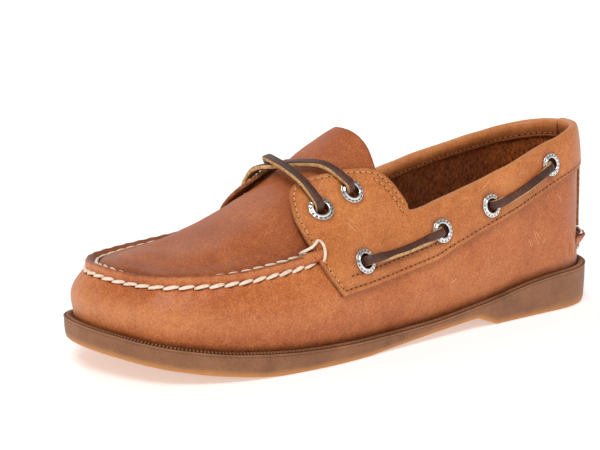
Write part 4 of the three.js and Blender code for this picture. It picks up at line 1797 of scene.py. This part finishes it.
@dataclass
class CollarBand(SewnPart):
    """The band round the collar with the eyestay in front: it rolls over the topline and is sewn inside."""

    side: Side
    base: float = 0.15
    thickness: float = 1.85
    fold: float = 12.0
    heel: float = 0.006
    throat: float = 4.59
    front: tuple = (
        (5.93, 0.292), (6.03, 0.355), (6.125, 0.42), (6.19, 0.5), (6.235, 0.59), (6.235, 0.68), (6.15, 0.765),
        (6.04, 0.815), (5.91, 0.828), (5.76, 0.799), (5.55, 0.743), (5.28, 0.695), (4.97, 0.645), (4.8, 0.598),
        (4.68, 0.545), (4.59, 0.492),
    )
    hole: float = 4.3

    def turned(self, u: Array) -> Array:
        """u on this side, from u on the lateral side; or back again."""
        return on_side(self.side, np.asarray(u))

    def __post_init__(self) -> None:
        """Draws the outline on the chart."""
        low, high = (-0.1, 6.5) if self.side is Side.LATERAL else (13.5, 20.1)
        end = self.throat + 0.02
        collar = (-1, end) if self.side is Side.LATERAL else (LAST.ROUND - end, 21)
        self.chart = CollarChart(low, high, collar)
        foot_u = np.linspace(self.heel, self.front[0][0], 160)
        turned = self.turned(foot_u)
        foot_v = LAST.v_where(turned, lambda p: p[..., 2] - BAND_FOOT(p[..., 0]))
        self.foot = self.chart.draw(turned, foot_v)
        front = np.array(self.front)
        top = self.chart.top(self.turned(front[:, 0]))[0]
        front[:, 1] += (top[-1] - front[-1, 1]) * smooth(5.2, self.throat, front[:, 0])
        front[0, 1] = foot_v[-1]
        curve = polyline(front, 0.01)
        self.eyestay = self.chart.draw(self.turned(curve[:, 0]), curve[:, 1])
        roll_u = self.turned(np.linspace(self.throat, self.heel, 120))
        self.inside = self.chart.beyond(roll_u, self.fold)
        parts = [self.foot, self.eyestay, self.inside, np.vstack([self.inside[-1:], self.foot[:1]])]
        outline = np.vstack([self.chart.measured(part, 1.3, ends=False) for part in parts])
        self.outline = outline if area(outline) > 0 else outline[::-1]
        self.forward = area(outline) > 0

    def inset(self, line: Array, distance: float) -> Array:
        """A line moved into the leather."""
        return self.chart.inset(line, distance if self.forward else -distance)

    def circle(self, seat: Seat) -> Array:
        """The hole for an eyelet, with the leather on its left.

        Args:
            seat: The eyelet's place.

        Returns:
            The hole, drawn on the chart.
        """
        angle = -np.arange(28) * 2 * math.pi / 28
        along, up = LAST.steps(seat.u, seat.v)
        e1 = unit(along)
        e2 = unit(up - e1 * (up @ e1))
        ring = self.hole * (np.outer(np.cos(angle), e1) + np.outer(np.sin(angle), e2))
        u, v = LAST.moved(np.full(28, seat.u), np.full(28, seat.v), ring)
        loop = self.chart.draw(u, v)
        return loop if area(loop) < 0 else loop[::-1]

    def seams(self) -> list[tuple[Array, bool]]:
        """The machine rows: each line, and whether its thread shows, or lies deep in painted shade.

        Returns:
            The rows.
        """
        foot = self.chart.measured(self.foot, 1.0)
        eyestay = self.chart.measured(self.eyestay, 1.0)
        foot_u, eyestay_u = (self.turned(self.chart.read(line)[0]) for line in (foot, eyestay))
        lower = self.inset(foot, 2.3)[2:-2]
        upper = self.inset(foot, 7.2)[(foot_u > 4.05) & (foot_u < 5.72)]
        edge = self.inset(eyestay, 2.2)[3:-4]
        slope = self.inset(eyestay, 5.0)[(eyestay_u < 4.99) & (eyestay_u > 4.6)]
        fold = self.chart.beyond(self.turned(np.linspace(self.throat - 0.05, 0.03, 150)), self.fold - 1.9)
        return [(lower, False), (upper, False), (edge, True), (slope, True), (self.outline_back(2.4), True),
                (fold, False)]

    def outline_back(self, distance: float) -> Array:
        """The row beside the seam at the middle of the heel, drawn on the chart."""
        seam = np.vstack([self.foot[:1], self.chart.beyond(self.turned(np.array([self.heel])), 0.0)])
        return self.inset(self.chart.measured(seam, 1.0)[::-1], distance)

    def build(self) -> None:
        """Makes the band and sews its rows."""
        seats = [seat for seat in SEATS if seat.side is self.side]
        holes = [self.circle(seat) for seat in seats]
        rows = self.seams()
        lines = [self.chart.measured(line, 1.2) for line, _ in rows]
        pattern = Pattern(self.chart, self.outline, holes, lines, step=1.45)
        laid = self.chart.lay(pattern.flat)
        relief = ripple(laid, LEATHER_RIPPLE)
        tone = -0.5 * (1 - smooth(0.15, 0.9, pattern.edge))
        # Painted shade in the stitch grooves.
        pattern.groove(lines, relief, tone, 0.34)
        # Painted shade in a ring round each eyelet's flange, where the leather dips.
        for seat in seats:
            away = np.linalg.norm(laid - seat.at, axis=1)
            relief -= 0.3 * bell(away - 5.6, 1.8)
            tone -= 0.35 * bell(away - 6.4, 0.8)
        u, v = self.chart.read(pattern.flat)
        top, rise = self.chart.top(u)
        past = (v - top) * rise
        collar = (u >= self.chart.collar[0]) & (u <= self.chart.collar[1])
        # Lighter along the roll over the topline: real wear and a painted highlight.
        tone += np.where(collar, 0.34 * bell(past - 1, 3.2), 0)
        # Painted shade: darker down inside the fold, within the shoe.
        tone -= np.where(collar, 0.3 * smooth(5, 9, past), 0)
        points, faces, which = pattern.solid(self.base, self.thickness, relief, 0.55)
        name = "collar_band_" + self.side.value
        leathers = [self.finishes.eyestay, self.finishes.cut, self.finishes.cut]
        build("eyestay_and_" + name, points, faces, leathers, Slot.EYESTAY, tone, which, stands_for=[name])
        for line, thread_on_top in rows:
            self.sewing.row(self.chart, line, self.base + self.thickness - 0.2, thread_on_top)


@dataclass
class HeelPatch(SewnPart):
    """The strip of leather over the seam at the back of the heel, stitched down on both sides."""

    half: float = 17.5
    foot: float = 38.6
    base: float = 0.2
    thickness: float = 1.5
    inset: float = 2.0

    def build(self) -> None:
        """Makes the patch and sews its edges."""
        chart = LeatherChart(-1.4, 1.4)
        wide = np.linspace(-1, 1, 40)
        reach = np.interp([-self.half, self.half], run_along(np.linspace(-1, 1, 81), 0.3), np.linspace(-1, 1, 81))
        u = np.interp(wide, [-1, 1], reach)
        low = chart.draw(u, LAST.at_height(u, self.foot))
        high = chart.draw(u, LAST.v_where(u, lambda p: p[..., 2] - BAND_FOOT(p[..., 0]) - 0.3))
        right, left = np.vstack([low[-1:], high[-1:]]), np.vstack([high[:1], low[:1]])
        loops = [chart.measured(line, 1.2, ends=False) for line in (low, right, high[::-1], left)]
        outline = np.vstack(loops)
        outline = outline if area(outline) > 0 else outline[::-1]
        lines = []
        for edge in (right, left):
            for inset in (self.inset, -self.inset):
                line = chart.inset(chart.measured(edge, 1.2), inset)
                if abs(chart.read(line)[0].mean()) <= abs(chart.read(edge)[0].mean()):
                    lines.append(line[1:-1])
                    break
        pattern = Pattern(chart, outline, (), lines, step=1.4)
        relief = ripple(chart.lay(pattern.flat), LEATHER_RIPPLE)
        tone = -0.6 * (1 - smooth(0.2, 0.9, pattern.edge))
        # Painted shade in the stitch grooves.
        pattern.groove(lines, relief, tone, 0.25)
        points, faces, which = pattern.solid(self.base, self.thickness, relief, 0.5)
        leathers = [self.finishes.tan, self.finishes.cut, self.finishes.cut]
        build("heel_patch_leather", points, faces, leathers, Slot.TAN, tone, which, stands_for=["heel_patch"])
        for line in lines:
            self.sewing.row(chart, line, self.base + self.thickness - 0.2, True)


@dataclass
class Lining(Part):
    """The brushed lining inside the quarters."""

    columns: int = 360
    inner: float = -2.2
    outer: float = -1.05
    rows: int = 40

    def top(self, u: Array) -> Array:
        """The v that the lining ends at: under the collar's fold, the eyestay's edge or the vamp's seam.

        Args:
            u: Places round the last.

        Returns:
            The v for each.
        """
        turned = by_lateral(u)
        eyestay = np.interp(turned, [4.6, 5.28, 5.76, 5.91, 6.1], [0.49, 0.68, 0.78, 0.8, 0.76]) - 0.02
        collar = LAST.topline(np.where(turned < 4.7, u, 0.0)) - 0.035
        high = np.where(turned < 4.55, collar, eyestay)
        middle = np.abs(turned - 4.6) < 0.25
        high = np.where(middle, np.minimum(high, LAST.topline(np.where(middle, u, 0.0)) - 0.03), high)
        return np.where(turned > 6.1, 0.44, high)

    def build(self) -> None:
        """Makes the lining."""
        u = even_u(self.columns)
        top = self.top(u)
        top = np.convolve(np.concatenate([top[-3:], top, top[:3]]), np.ones(7) / 7, mode="valid")
        shares = np.linspace(1, 0, self.rows)
        face = [top * s - 0.02 * (1 - s) for s in shares]
        v = np.vstack([top, top, *face, *face[:0:-1]])
        out = np.repeat([self.outer, -1.6, self.inner, self.outer], [1, 1, self.rows, self.rows - 1])
        uu = np.broadcast_to(u, v.shape)
        nap = ripple(LAST.form(uu, v), 0.5) * (out < self.outer)[:, None]
        points = LAST.offset(uu, v, np.broadcast_to(out[:, None], v.shape) + nap)
        faces = grid_faces(len(v), len(u), closed=True, flip=True, joined=True)
        build("quarter_lining", points.reshape(-1, 3), faces, [self.finishes.lining], Slot.SUEDE)


@dataclass
class SeamEnds(SewnPart):
    """The ends of the moc seam: the ridge runs on over the eyestay's edge and is bound there with thread."""

    seam: MocSeam
    start: float = 6.5
    end: float = 6.0
    tip: float = 4.6
    lift: float = 0.35
    over: float = 1.15
    ridge: tuple = (
        (-3.8, -0.6, -0.6), (-3.2, 0.5, -0.2), (-2.4, 1.5, 0.05), (-1.4, 2.35, 0.1), (-0.4, 2.65, 0.1),
        (0.5, 2.5, -0.2), (1.1, 1.9, -0.6), (1.5, 0.8, -0.8), (1.7, -0.6, -0.8),
    )

    def tab(self, side: Side) -> tuple[Array, list[float], Faces]:
        """The rounded end of the ridge on one side.

        Args:
            side: The side of the shoe.

        Returns:
            Its points, their tones and its faces.
        """
        u = on_side(side, np.linspace(self.start, self.end, 34))
        run = np.abs(run_along(u, self.seam.v) - run_along(u[:1], self.seam.v))
        left = np.maximum(run[-1] - run, 0)
        wide = np.sqrt(np.clip(1 - (np.clip(self.tip - left, 0, self.tip) / self.tip) ** 2, 0.004, 1))
        high = -0.5 + (self.lift + 0.5) * smooth(0, 5, run) + self.over * smooth(2.0, 8.0, run)
        rings, tone = [], []
        for across, rise, shade in self.ridge:
            height = np.where(rise > 0, rise * (0.25 + 0.75 * wide), rise) + high
            rings.append(LAST.offset(u, self.seam.at(u, across * wide), height))
            tone += [shade] * len(u)
        faces = grid_faces(len(rings), len(u), flip=side is Side.MEDIAL, joined=True, lids=True)
        return np.vstack(rings), tone, faces

    def bind(self, side: Side) -> None:
        """Binds the end with two strands that meet in one hole of the eyestay.

        Args:
            side: The side of the shoe.
        """
        def at(turned: float, across: float, height: float) -> Array:
            """A point near the seam's end."""
            u = on_side(side, turned)
            return LAST.offset(u, self.seam.at(u, across), height)

        strands = (
            ((6.38, 3.2, -0.4), (6.32, 2.6, 2.2), (6.22, 2.9, 3.6), (6.12, 4.6, 3.1), (6.08, 5.4, 1.6)),
            ((6.08, 5.2, 1.4), (6.075, 4.2, 3.0), (6.085, 1.4, 4.6), (6.1, -1.4, 4.4), (6.11, -3.4, 3.0),
             (6.12, -4.4, 1.4)),
        )
        up = LAST.outward(on_side(side, 6.1), self.seam.v)
        for strand in strands:
            self.sewing.strand(np.array([at(*place) for place in strand]), up, 0.82)

    def build(self) -> None:
        """Makes the ends on both sides."""
        for side in Side:
            points, tone, faces = self.tab(side)
            build("seam_end_" + side.value, points, faces, [self.finishes.tan], Slot.TAN, tone)
            self.bind(side)


@dataclass
class Scuffs(Part):
    """Light scratches in the leather of the lateral heel and eyestay."""

    width: float = 0.3
    quarter: tuple = (
        ((2.52, 0.285), (2.38, 0.2)), ((2.44, 0.27), (2.36, 0.235)), ((2.3, 0.215), (2.22, 0.24)),
        ((2.62, 0.25), (2.56, 0.215)), ((1.9, 0.36), (1.82, 0.33)), ((4.1, 0.2), (3.98, 0.215)),
    )
    eyestay: tuple = (((5.62, 0.56), (5.5, 0.5)), ((5.56, 0.565), (5.49, 0.53)), ((3.5, 0.48), (3.3, 0.5)))

    def build(self) -> None:
        """Makes the scratches as thin raised slivers of rubbed leather."""
        batch = Batch()
        rng = np.random.default_rng(11)
        for places, height in ((self.quarter, 0.0), (self.eyestay, 1.98)):
            for start, end in places:
                share = np.linspace(0, 1, 12)[:, None]
                u, v = (np.array(start) + (np.array(end) - np.array(start)) * share).T
                v = v + np.cumsum(rng.normal(0, 0.0012, len(v)))
                base = LAST.form(u, v)
                lift = height + ripple(base, VAMP_RIPPLE if height == 0 else LEATHER_RIPPLE)
                thick = self.width * np.sin(np.pi * np.linspace(0.05, 0.95, 12)) ** 0.7
                batch.strand(LAST.offset(u, v, lift), thick, LAST.outward(u, v), 0.25, 6)
        batch.build("leather_scuffs", [self.finishes.scuff], Slot.TAN)


# ---- eyelets and laces


@dataclass
class Eyelet(Part):
    """A bright metal eyelet with a flat flange and a rolled rim."""

    seat: float = 1.95
    sides: int = 96
    ticks: int = 16
    profile: tuple = (
        (5.6, -0.1), (5.8, 0.06), (5.84, 0.28), (5.68, 0.46), (5.3, 0.54), (4.75, 0.56), (4.5, 0.62),
        (4.34, 0.84), (4.08, 1.0), (3.76, 0.96), (3.5, 0.7), (3.38, 0.3), (3.34, -0.4), (3.34, -1.5),
        (3.6, -1.65), (3.75, -1.4), (3.75, -0.4), (3.8, -0.12),
    )

    def build(self, seat: Seat) -> None:
        """Turns one eyelet in its place.

        Args:
            seat: The place.
        """
        e1 = unit(LAST.steps(seat.u, seat.v)[0])
        e2 = np.cross(seat.axis, e1)
        angle = np.arange(self.sides) * 2 * math.pi / self.sides
        ring = np.outer(np.cos(angle), e1) + np.outer(np.sin(angle), e2)
        tick = smooth(0.1, 0.6, np.cos(angle * self.ticks))
        rings, tones = [], []
        for r, h in self.profile:
            cut = tick * (4.7 < r < 5.4 and h > 0)
            rings.append(seat.at + seat.axis * (self.seat + h) + ring * r - seat.axis * (0.16 * cut)[:, None])
            # Tone: darker in the flange's notches, and painted shade down inside the barrel.
            tones.append(-0.75 * cut - 0.35 * (r < 3.45))
        points, tone = np.vstack(rings), np.concatenate(tones)
        faces = grid_faces(len(self.profile), self.sides, closed=True, joined=True)
        name = f"eyelet_{seat.side.value}_{seat.number}"
        build("metal_" + name, points, faces, [self.finishes.metal], Slot.METAL, tone, stands_for=[name])


@dataclass
class Laces(Part):
    """The rawhide lace: two bars through each side of the collar and the crossing over the tongue."""

    width: float = 4.1
    thickness: float = 2.6
    leave: tuple = ((0.3, -0.6), (0.5, 0.8), (1.1, 2.5), (2.6, 3.9), (5.2, 4.2))
    sag: float = 2.2
    under: tuple = ((-31.5, -17, 3.0), (-37, -6, 1.2), (-41.5, 5, 1.6), (-44, 17, 4.2))
    above: tuple = (
        (-44, -18, 5.4), (-43.5, -7, 4.8), (-42, 5, 5.0), (-38, 16, 5.2), (-31, 24, 5.0),
    )

    def seat(self, side: Side, number: int) -> Seat:
        """One eyelet's place."""
        return next(seat for seat in SEATS if seat.side is side and seat.number == number)

    def ribbon(self, batch: Batch, line: Array, up: Array) -> None:
        """Adds a flat lace through points, its broad face towards `up` and its two cut edges raw.

        Args:
            batch: The mesh that it is added to.
            line: The points of its middle.
            up: The way that its broad face looks at each.
        """
        run = unit(np.gradient(line, axis=0))
        across = unit(np.cross(up, run))
        rise = np.cross(run, across)
        w, t, corner = self.width / 2, self.thickness / 2, 0.42
        ring = np.array([
            (w, -t + corner), (w + 0.12, 0), (w, t - corner), (w - corner, t), (0, t + 0.12),
            (-w + corner, t), (-w, t - corner), (-w - 0.12, 0), (-w, -t + corner), (-w + corner, -t),
            (0, -t - 0.1), (w - corner, -t),
        ])
        rings = line[:, None] + across[:, None] * ring[None, :, :1] + rise[:, None] * ring[None, :, 1:]
        n = len(ring)
        raw = [int(side % 6 < 2) for side in range(n)] * (len(line) - 1) + [1, 1]
        batch.add(rings.reshape(-1, 3), grid_faces(len(line), n, closed=True, lids=True), raw)

    def path(self, start: Seat, middle: Array, normals: Array, end: Seat) -> tuple[Array, Array]:
        """The line of a lace from eyelet to eyelet by way of its middle points, and the way it faces.

        Args:
            start: The eyelet that it leaves.
            middle: The points on its way.
            normals: The way that it faces at each.
            end: The eyelet that it enters.

        Returns:
            The points, and the way that it faces at each.
        """
        points, ups = [], []
        for seat, towards, order in ((start, middle[0], 1), (end, middle[-1], -1)):
            way = towards - seat.at
            way = unit(way - seat.axis * (way @ seat.axis))
            places = np.array([seat.at + way * r + seat.axis * h for r, h in self.leave])
            facing = np.array([
                unit(seat.axis * min(1.0, 0.12 + r / 3) - way * max(0.0, 1 - r / 3)) for r, _ in self.leave
            ])
            points.append(places[::order])
            ups.append(facing[::order])
        line = np.vstack([points[0], middle, points[1]])
        up = np.vstack([ups[0], normals, ups[1]])
        both = polyline(np.hstack([line, up * 0.001]), 0.55)
        return both[:, :3], unit(both[:, 3:])

    def bar(self, side: Side, first: int, last: int) -> tuple[Array, Array]:
        """A bar between two neighbouring eyelets, close to the band.

        Args:
            side: The side of the shoe.
            first: The front eyelet's number.
            last: The rear one's.

        Returns:
            The points, and the way that it faces at each.
        """
        a, b = self.seat(side, first), self.seat(side, last)
        share = np.array([0.3, 0.5, 0.7])
        u, v = a.u + (b.u - a.u) * share, a.v + (b.v - a.v) * share
        chord = a.at + (b.at - a.at) * share[:, None]
        chord[:, 2] -= self.sag * np.sin(np.pi * share)
        for _ in range(8):
            u, v = LAST.moved(u, v, chord - LAST.form(u, v))
        height = np.array([3.9, 3.6, 3.9])
        normals = unit(LAST.outward(u, v) + np.array([0, 0, 2.0 if first == 3 else 1.0]))
        return self.path(a, LAST.offset(u, v, height), normals, b)

    def crossing(self, places: tuple, first: Seat, last: Seat) -> tuple[Array, Array]:
        """A length over the tongue, through places given by x, y and height.

        Args:
            places: The places.
            first: The eyelet that it leaves.
            last: The eyelet that it enters.

        Returns:
            The points, and the way that it faces at each.
        """
        x, y, height = np.array(places, float).T
        points, normals = LAST.above(x, y)
        facing = unit(normals + np.array([0.4, 0, 0]))
        return self.path(first, points + normals * height[:, None], facing, last)

    def build(self) -> None:
        """Makes every length of the lace."""
        lengths = {
            f"lace_bar_{side.value}_{place}": [self.bar(side, first, first + 1)]
            for side in Side for place, first in (("front", 3), ("rear", 5))
        }
        lengths["lace_cross"] = [
            self.crossing(self.under, self.seat(Side.LATERAL, 2), self.seat(Side.MEDIAL, 1)),
            self.crossing(self.above, self.seat(Side.LATERAL, 1), self.seat(Side.MEDIAL, 2)),
        ]
        for name, lines in lengths.items():
            batch = Batch()
            for line, up in lines:
                self.ribbon(batch, line, up)
            rawhide = [self.finishes.lace, self.finishes.lace_edge]
            batch.build("rawhide_" + name, rawhide, Slot.RAWHIDE, stands_for=[name])


# ---- studio


@dataclass
class Studio:
    """A plain white floor and backdrop, soft light, and the camera."""

    azimuth: float = 35.19
    elevation: float = 10.51
    distance: float = 638.6
    aim: tuple = (-33.94, 0.0, 54.53)
    lens: float = 80.97
    sensor: float = 36.0
    floor_size: float = 60.0
    greys: tuple = ((0.22, 1.0), (0.5, 0.3))
    lamps: tuple = (("key", (-0.55, -0.5, 1.1), 28, 1.55), ("back", (0.1, 1.0, 0.9), 30, 0.45))

    def camera(self) -> None:
        """Places the camera."""
        turn, rise = math.radians(self.azimuth), math.radians(self.elevation)
        back = np.array([-math.sin(turn) * math.cos(rise), -math.cos(turn) * math.cos(rise), math.sin(rise)])
        aim = np.array(self.aim)
        data = bpy.data.cameras.new("camera")
        data.lens, data.sensor_width = self.lens, self.sensor
        data.clip_start, data.clip_end = 0.01, 50
        camera = bpy.data.objects.new("camera", data)
        camera.location = LAST.metres(aim + back * self.distance).tolist()
        camera.rotation_euler = Vector((-back).tolist()).to_track_quat("-Z", "Y").to_euler()
        bpy.context.scene.collection.objects.link(camera)
        bpy.context.scene.camera = camera

    def floor(self) -> None:
        """Lays the floor."""
        half = self.floor_size / 2
        mesh = bpy.data.meshes.new("floor")
        corners = [(-half, -half, 0), (half, -half, 0), (half, half, 0), (-half, half, 0)]
        mesh.from_pydata(corners, [], [(0, 1, 2, 3)])
        s = Shader("studio_floor")
        shade = s.ramp(s.noise(3, 2), (0.4, (0.84, 0.84, 0.84, 1)), (0.6, (0.86, 0.86, 0.86, 1)))
        mesh.materials.append(s.finish(Base_Color=shade, Roughness=0.9, Specular_IOR_Level=0.1,
                                       Emission_Color=(1, 1, 1, 1), Emission_Strength=0.38))
        floor = bpy.data.objects.new("floor", mesh)
        bpy.context.scene.collection.objects.link(floor)

    def lamp(self, name: str, towards: tuple, spread: float, power: float) -> None:
        """Hangs a far soft lamp; `towards` is the way from the shoe to it, `spread` its width in degrees.

        Args:
            name: The lamp's name.
            towards: The way to it.
            spread: Its width.
            power: Its strength.
        """
        data = bpy.data.lights.new(name, "SUN")
        data.angle, data.energy = math.radians(spread), power
        lamp = bpy.data.objects.new(name, data)
        lamp.location = Vector(towards)
        lamp.rotation_euler = (-Vector(towards)).to_track_quat("-Z", "Y").to_euler()
        bpy.context.scene.collection.objects.link(lamp)

    def sky(self) -> None:
        """Lights the studio from all round, brightest near the horizon."""
        world = bpy.data.worlds.new("studio")
        world.use_nodes = True
        nodes, links = world.node_tree.nodes, world.node_tree.links
        where = nodes.new("ShaderNodeTexCoord")
        split = nodes.new("ShaderNodeSeparateXYZ")
        ramp = nodes.new("ShaderNodeValToRGB")
        links.new(where.outputs["Generated"], split.inputs[0])
        links.new(split.outputs["Z"], ramp.inputs["Fac"])
        links.new(ramp.outputs["Color"], nodes["Background"].inputs["Color"])
        for point, (at, grey) in zip(ramp.color_ramp.elements, self.greys):
            point.position, point.color = at, (grey, grey, grey, 1)
        bpy.context.scene.world = world

    def build(self) -> None:
        """Sets up the studio."""
        self.camera()
        self.floor()
        self.sky()
        for lamp in self.lamps:
            self.lamp(*lamp)
        bpy.context.scene.view_settings.view_transform = "Standard"


def main() -> None:
    """Builds the shoe piece by piece, then the studio."""
    logging.basicConfig(level=logging.INFO, format="%(name)s %(message)s")
    finishes = Finishes()
    machine, hand = MachineSewing(), HandSewing()
    seam = MocSeam()
    Outsole(finishes).build()
    Insole(finishes).build()
    Vamp(finishes, hand, seam).build()
    Plug(finishes, hand, seam).build()
    Lining(finishes).build()
    for side in Side:
        CollarBand(finishes, machine, side).build()
    HeelPatch(finishes, machine).build()
    HeelSeam(finishes, hand).build()
    SeamEnds(finishes, hand, seam).build()
    for seat in SEATS:
        Eyelet(finishes).build(seat)
    Laces(finishes).build()
    Scuffs(finishes).build()
    machine.build(finishes)
    hand.build(finishes)
    Studio().build()


if __name__ == "__main__":
    main()
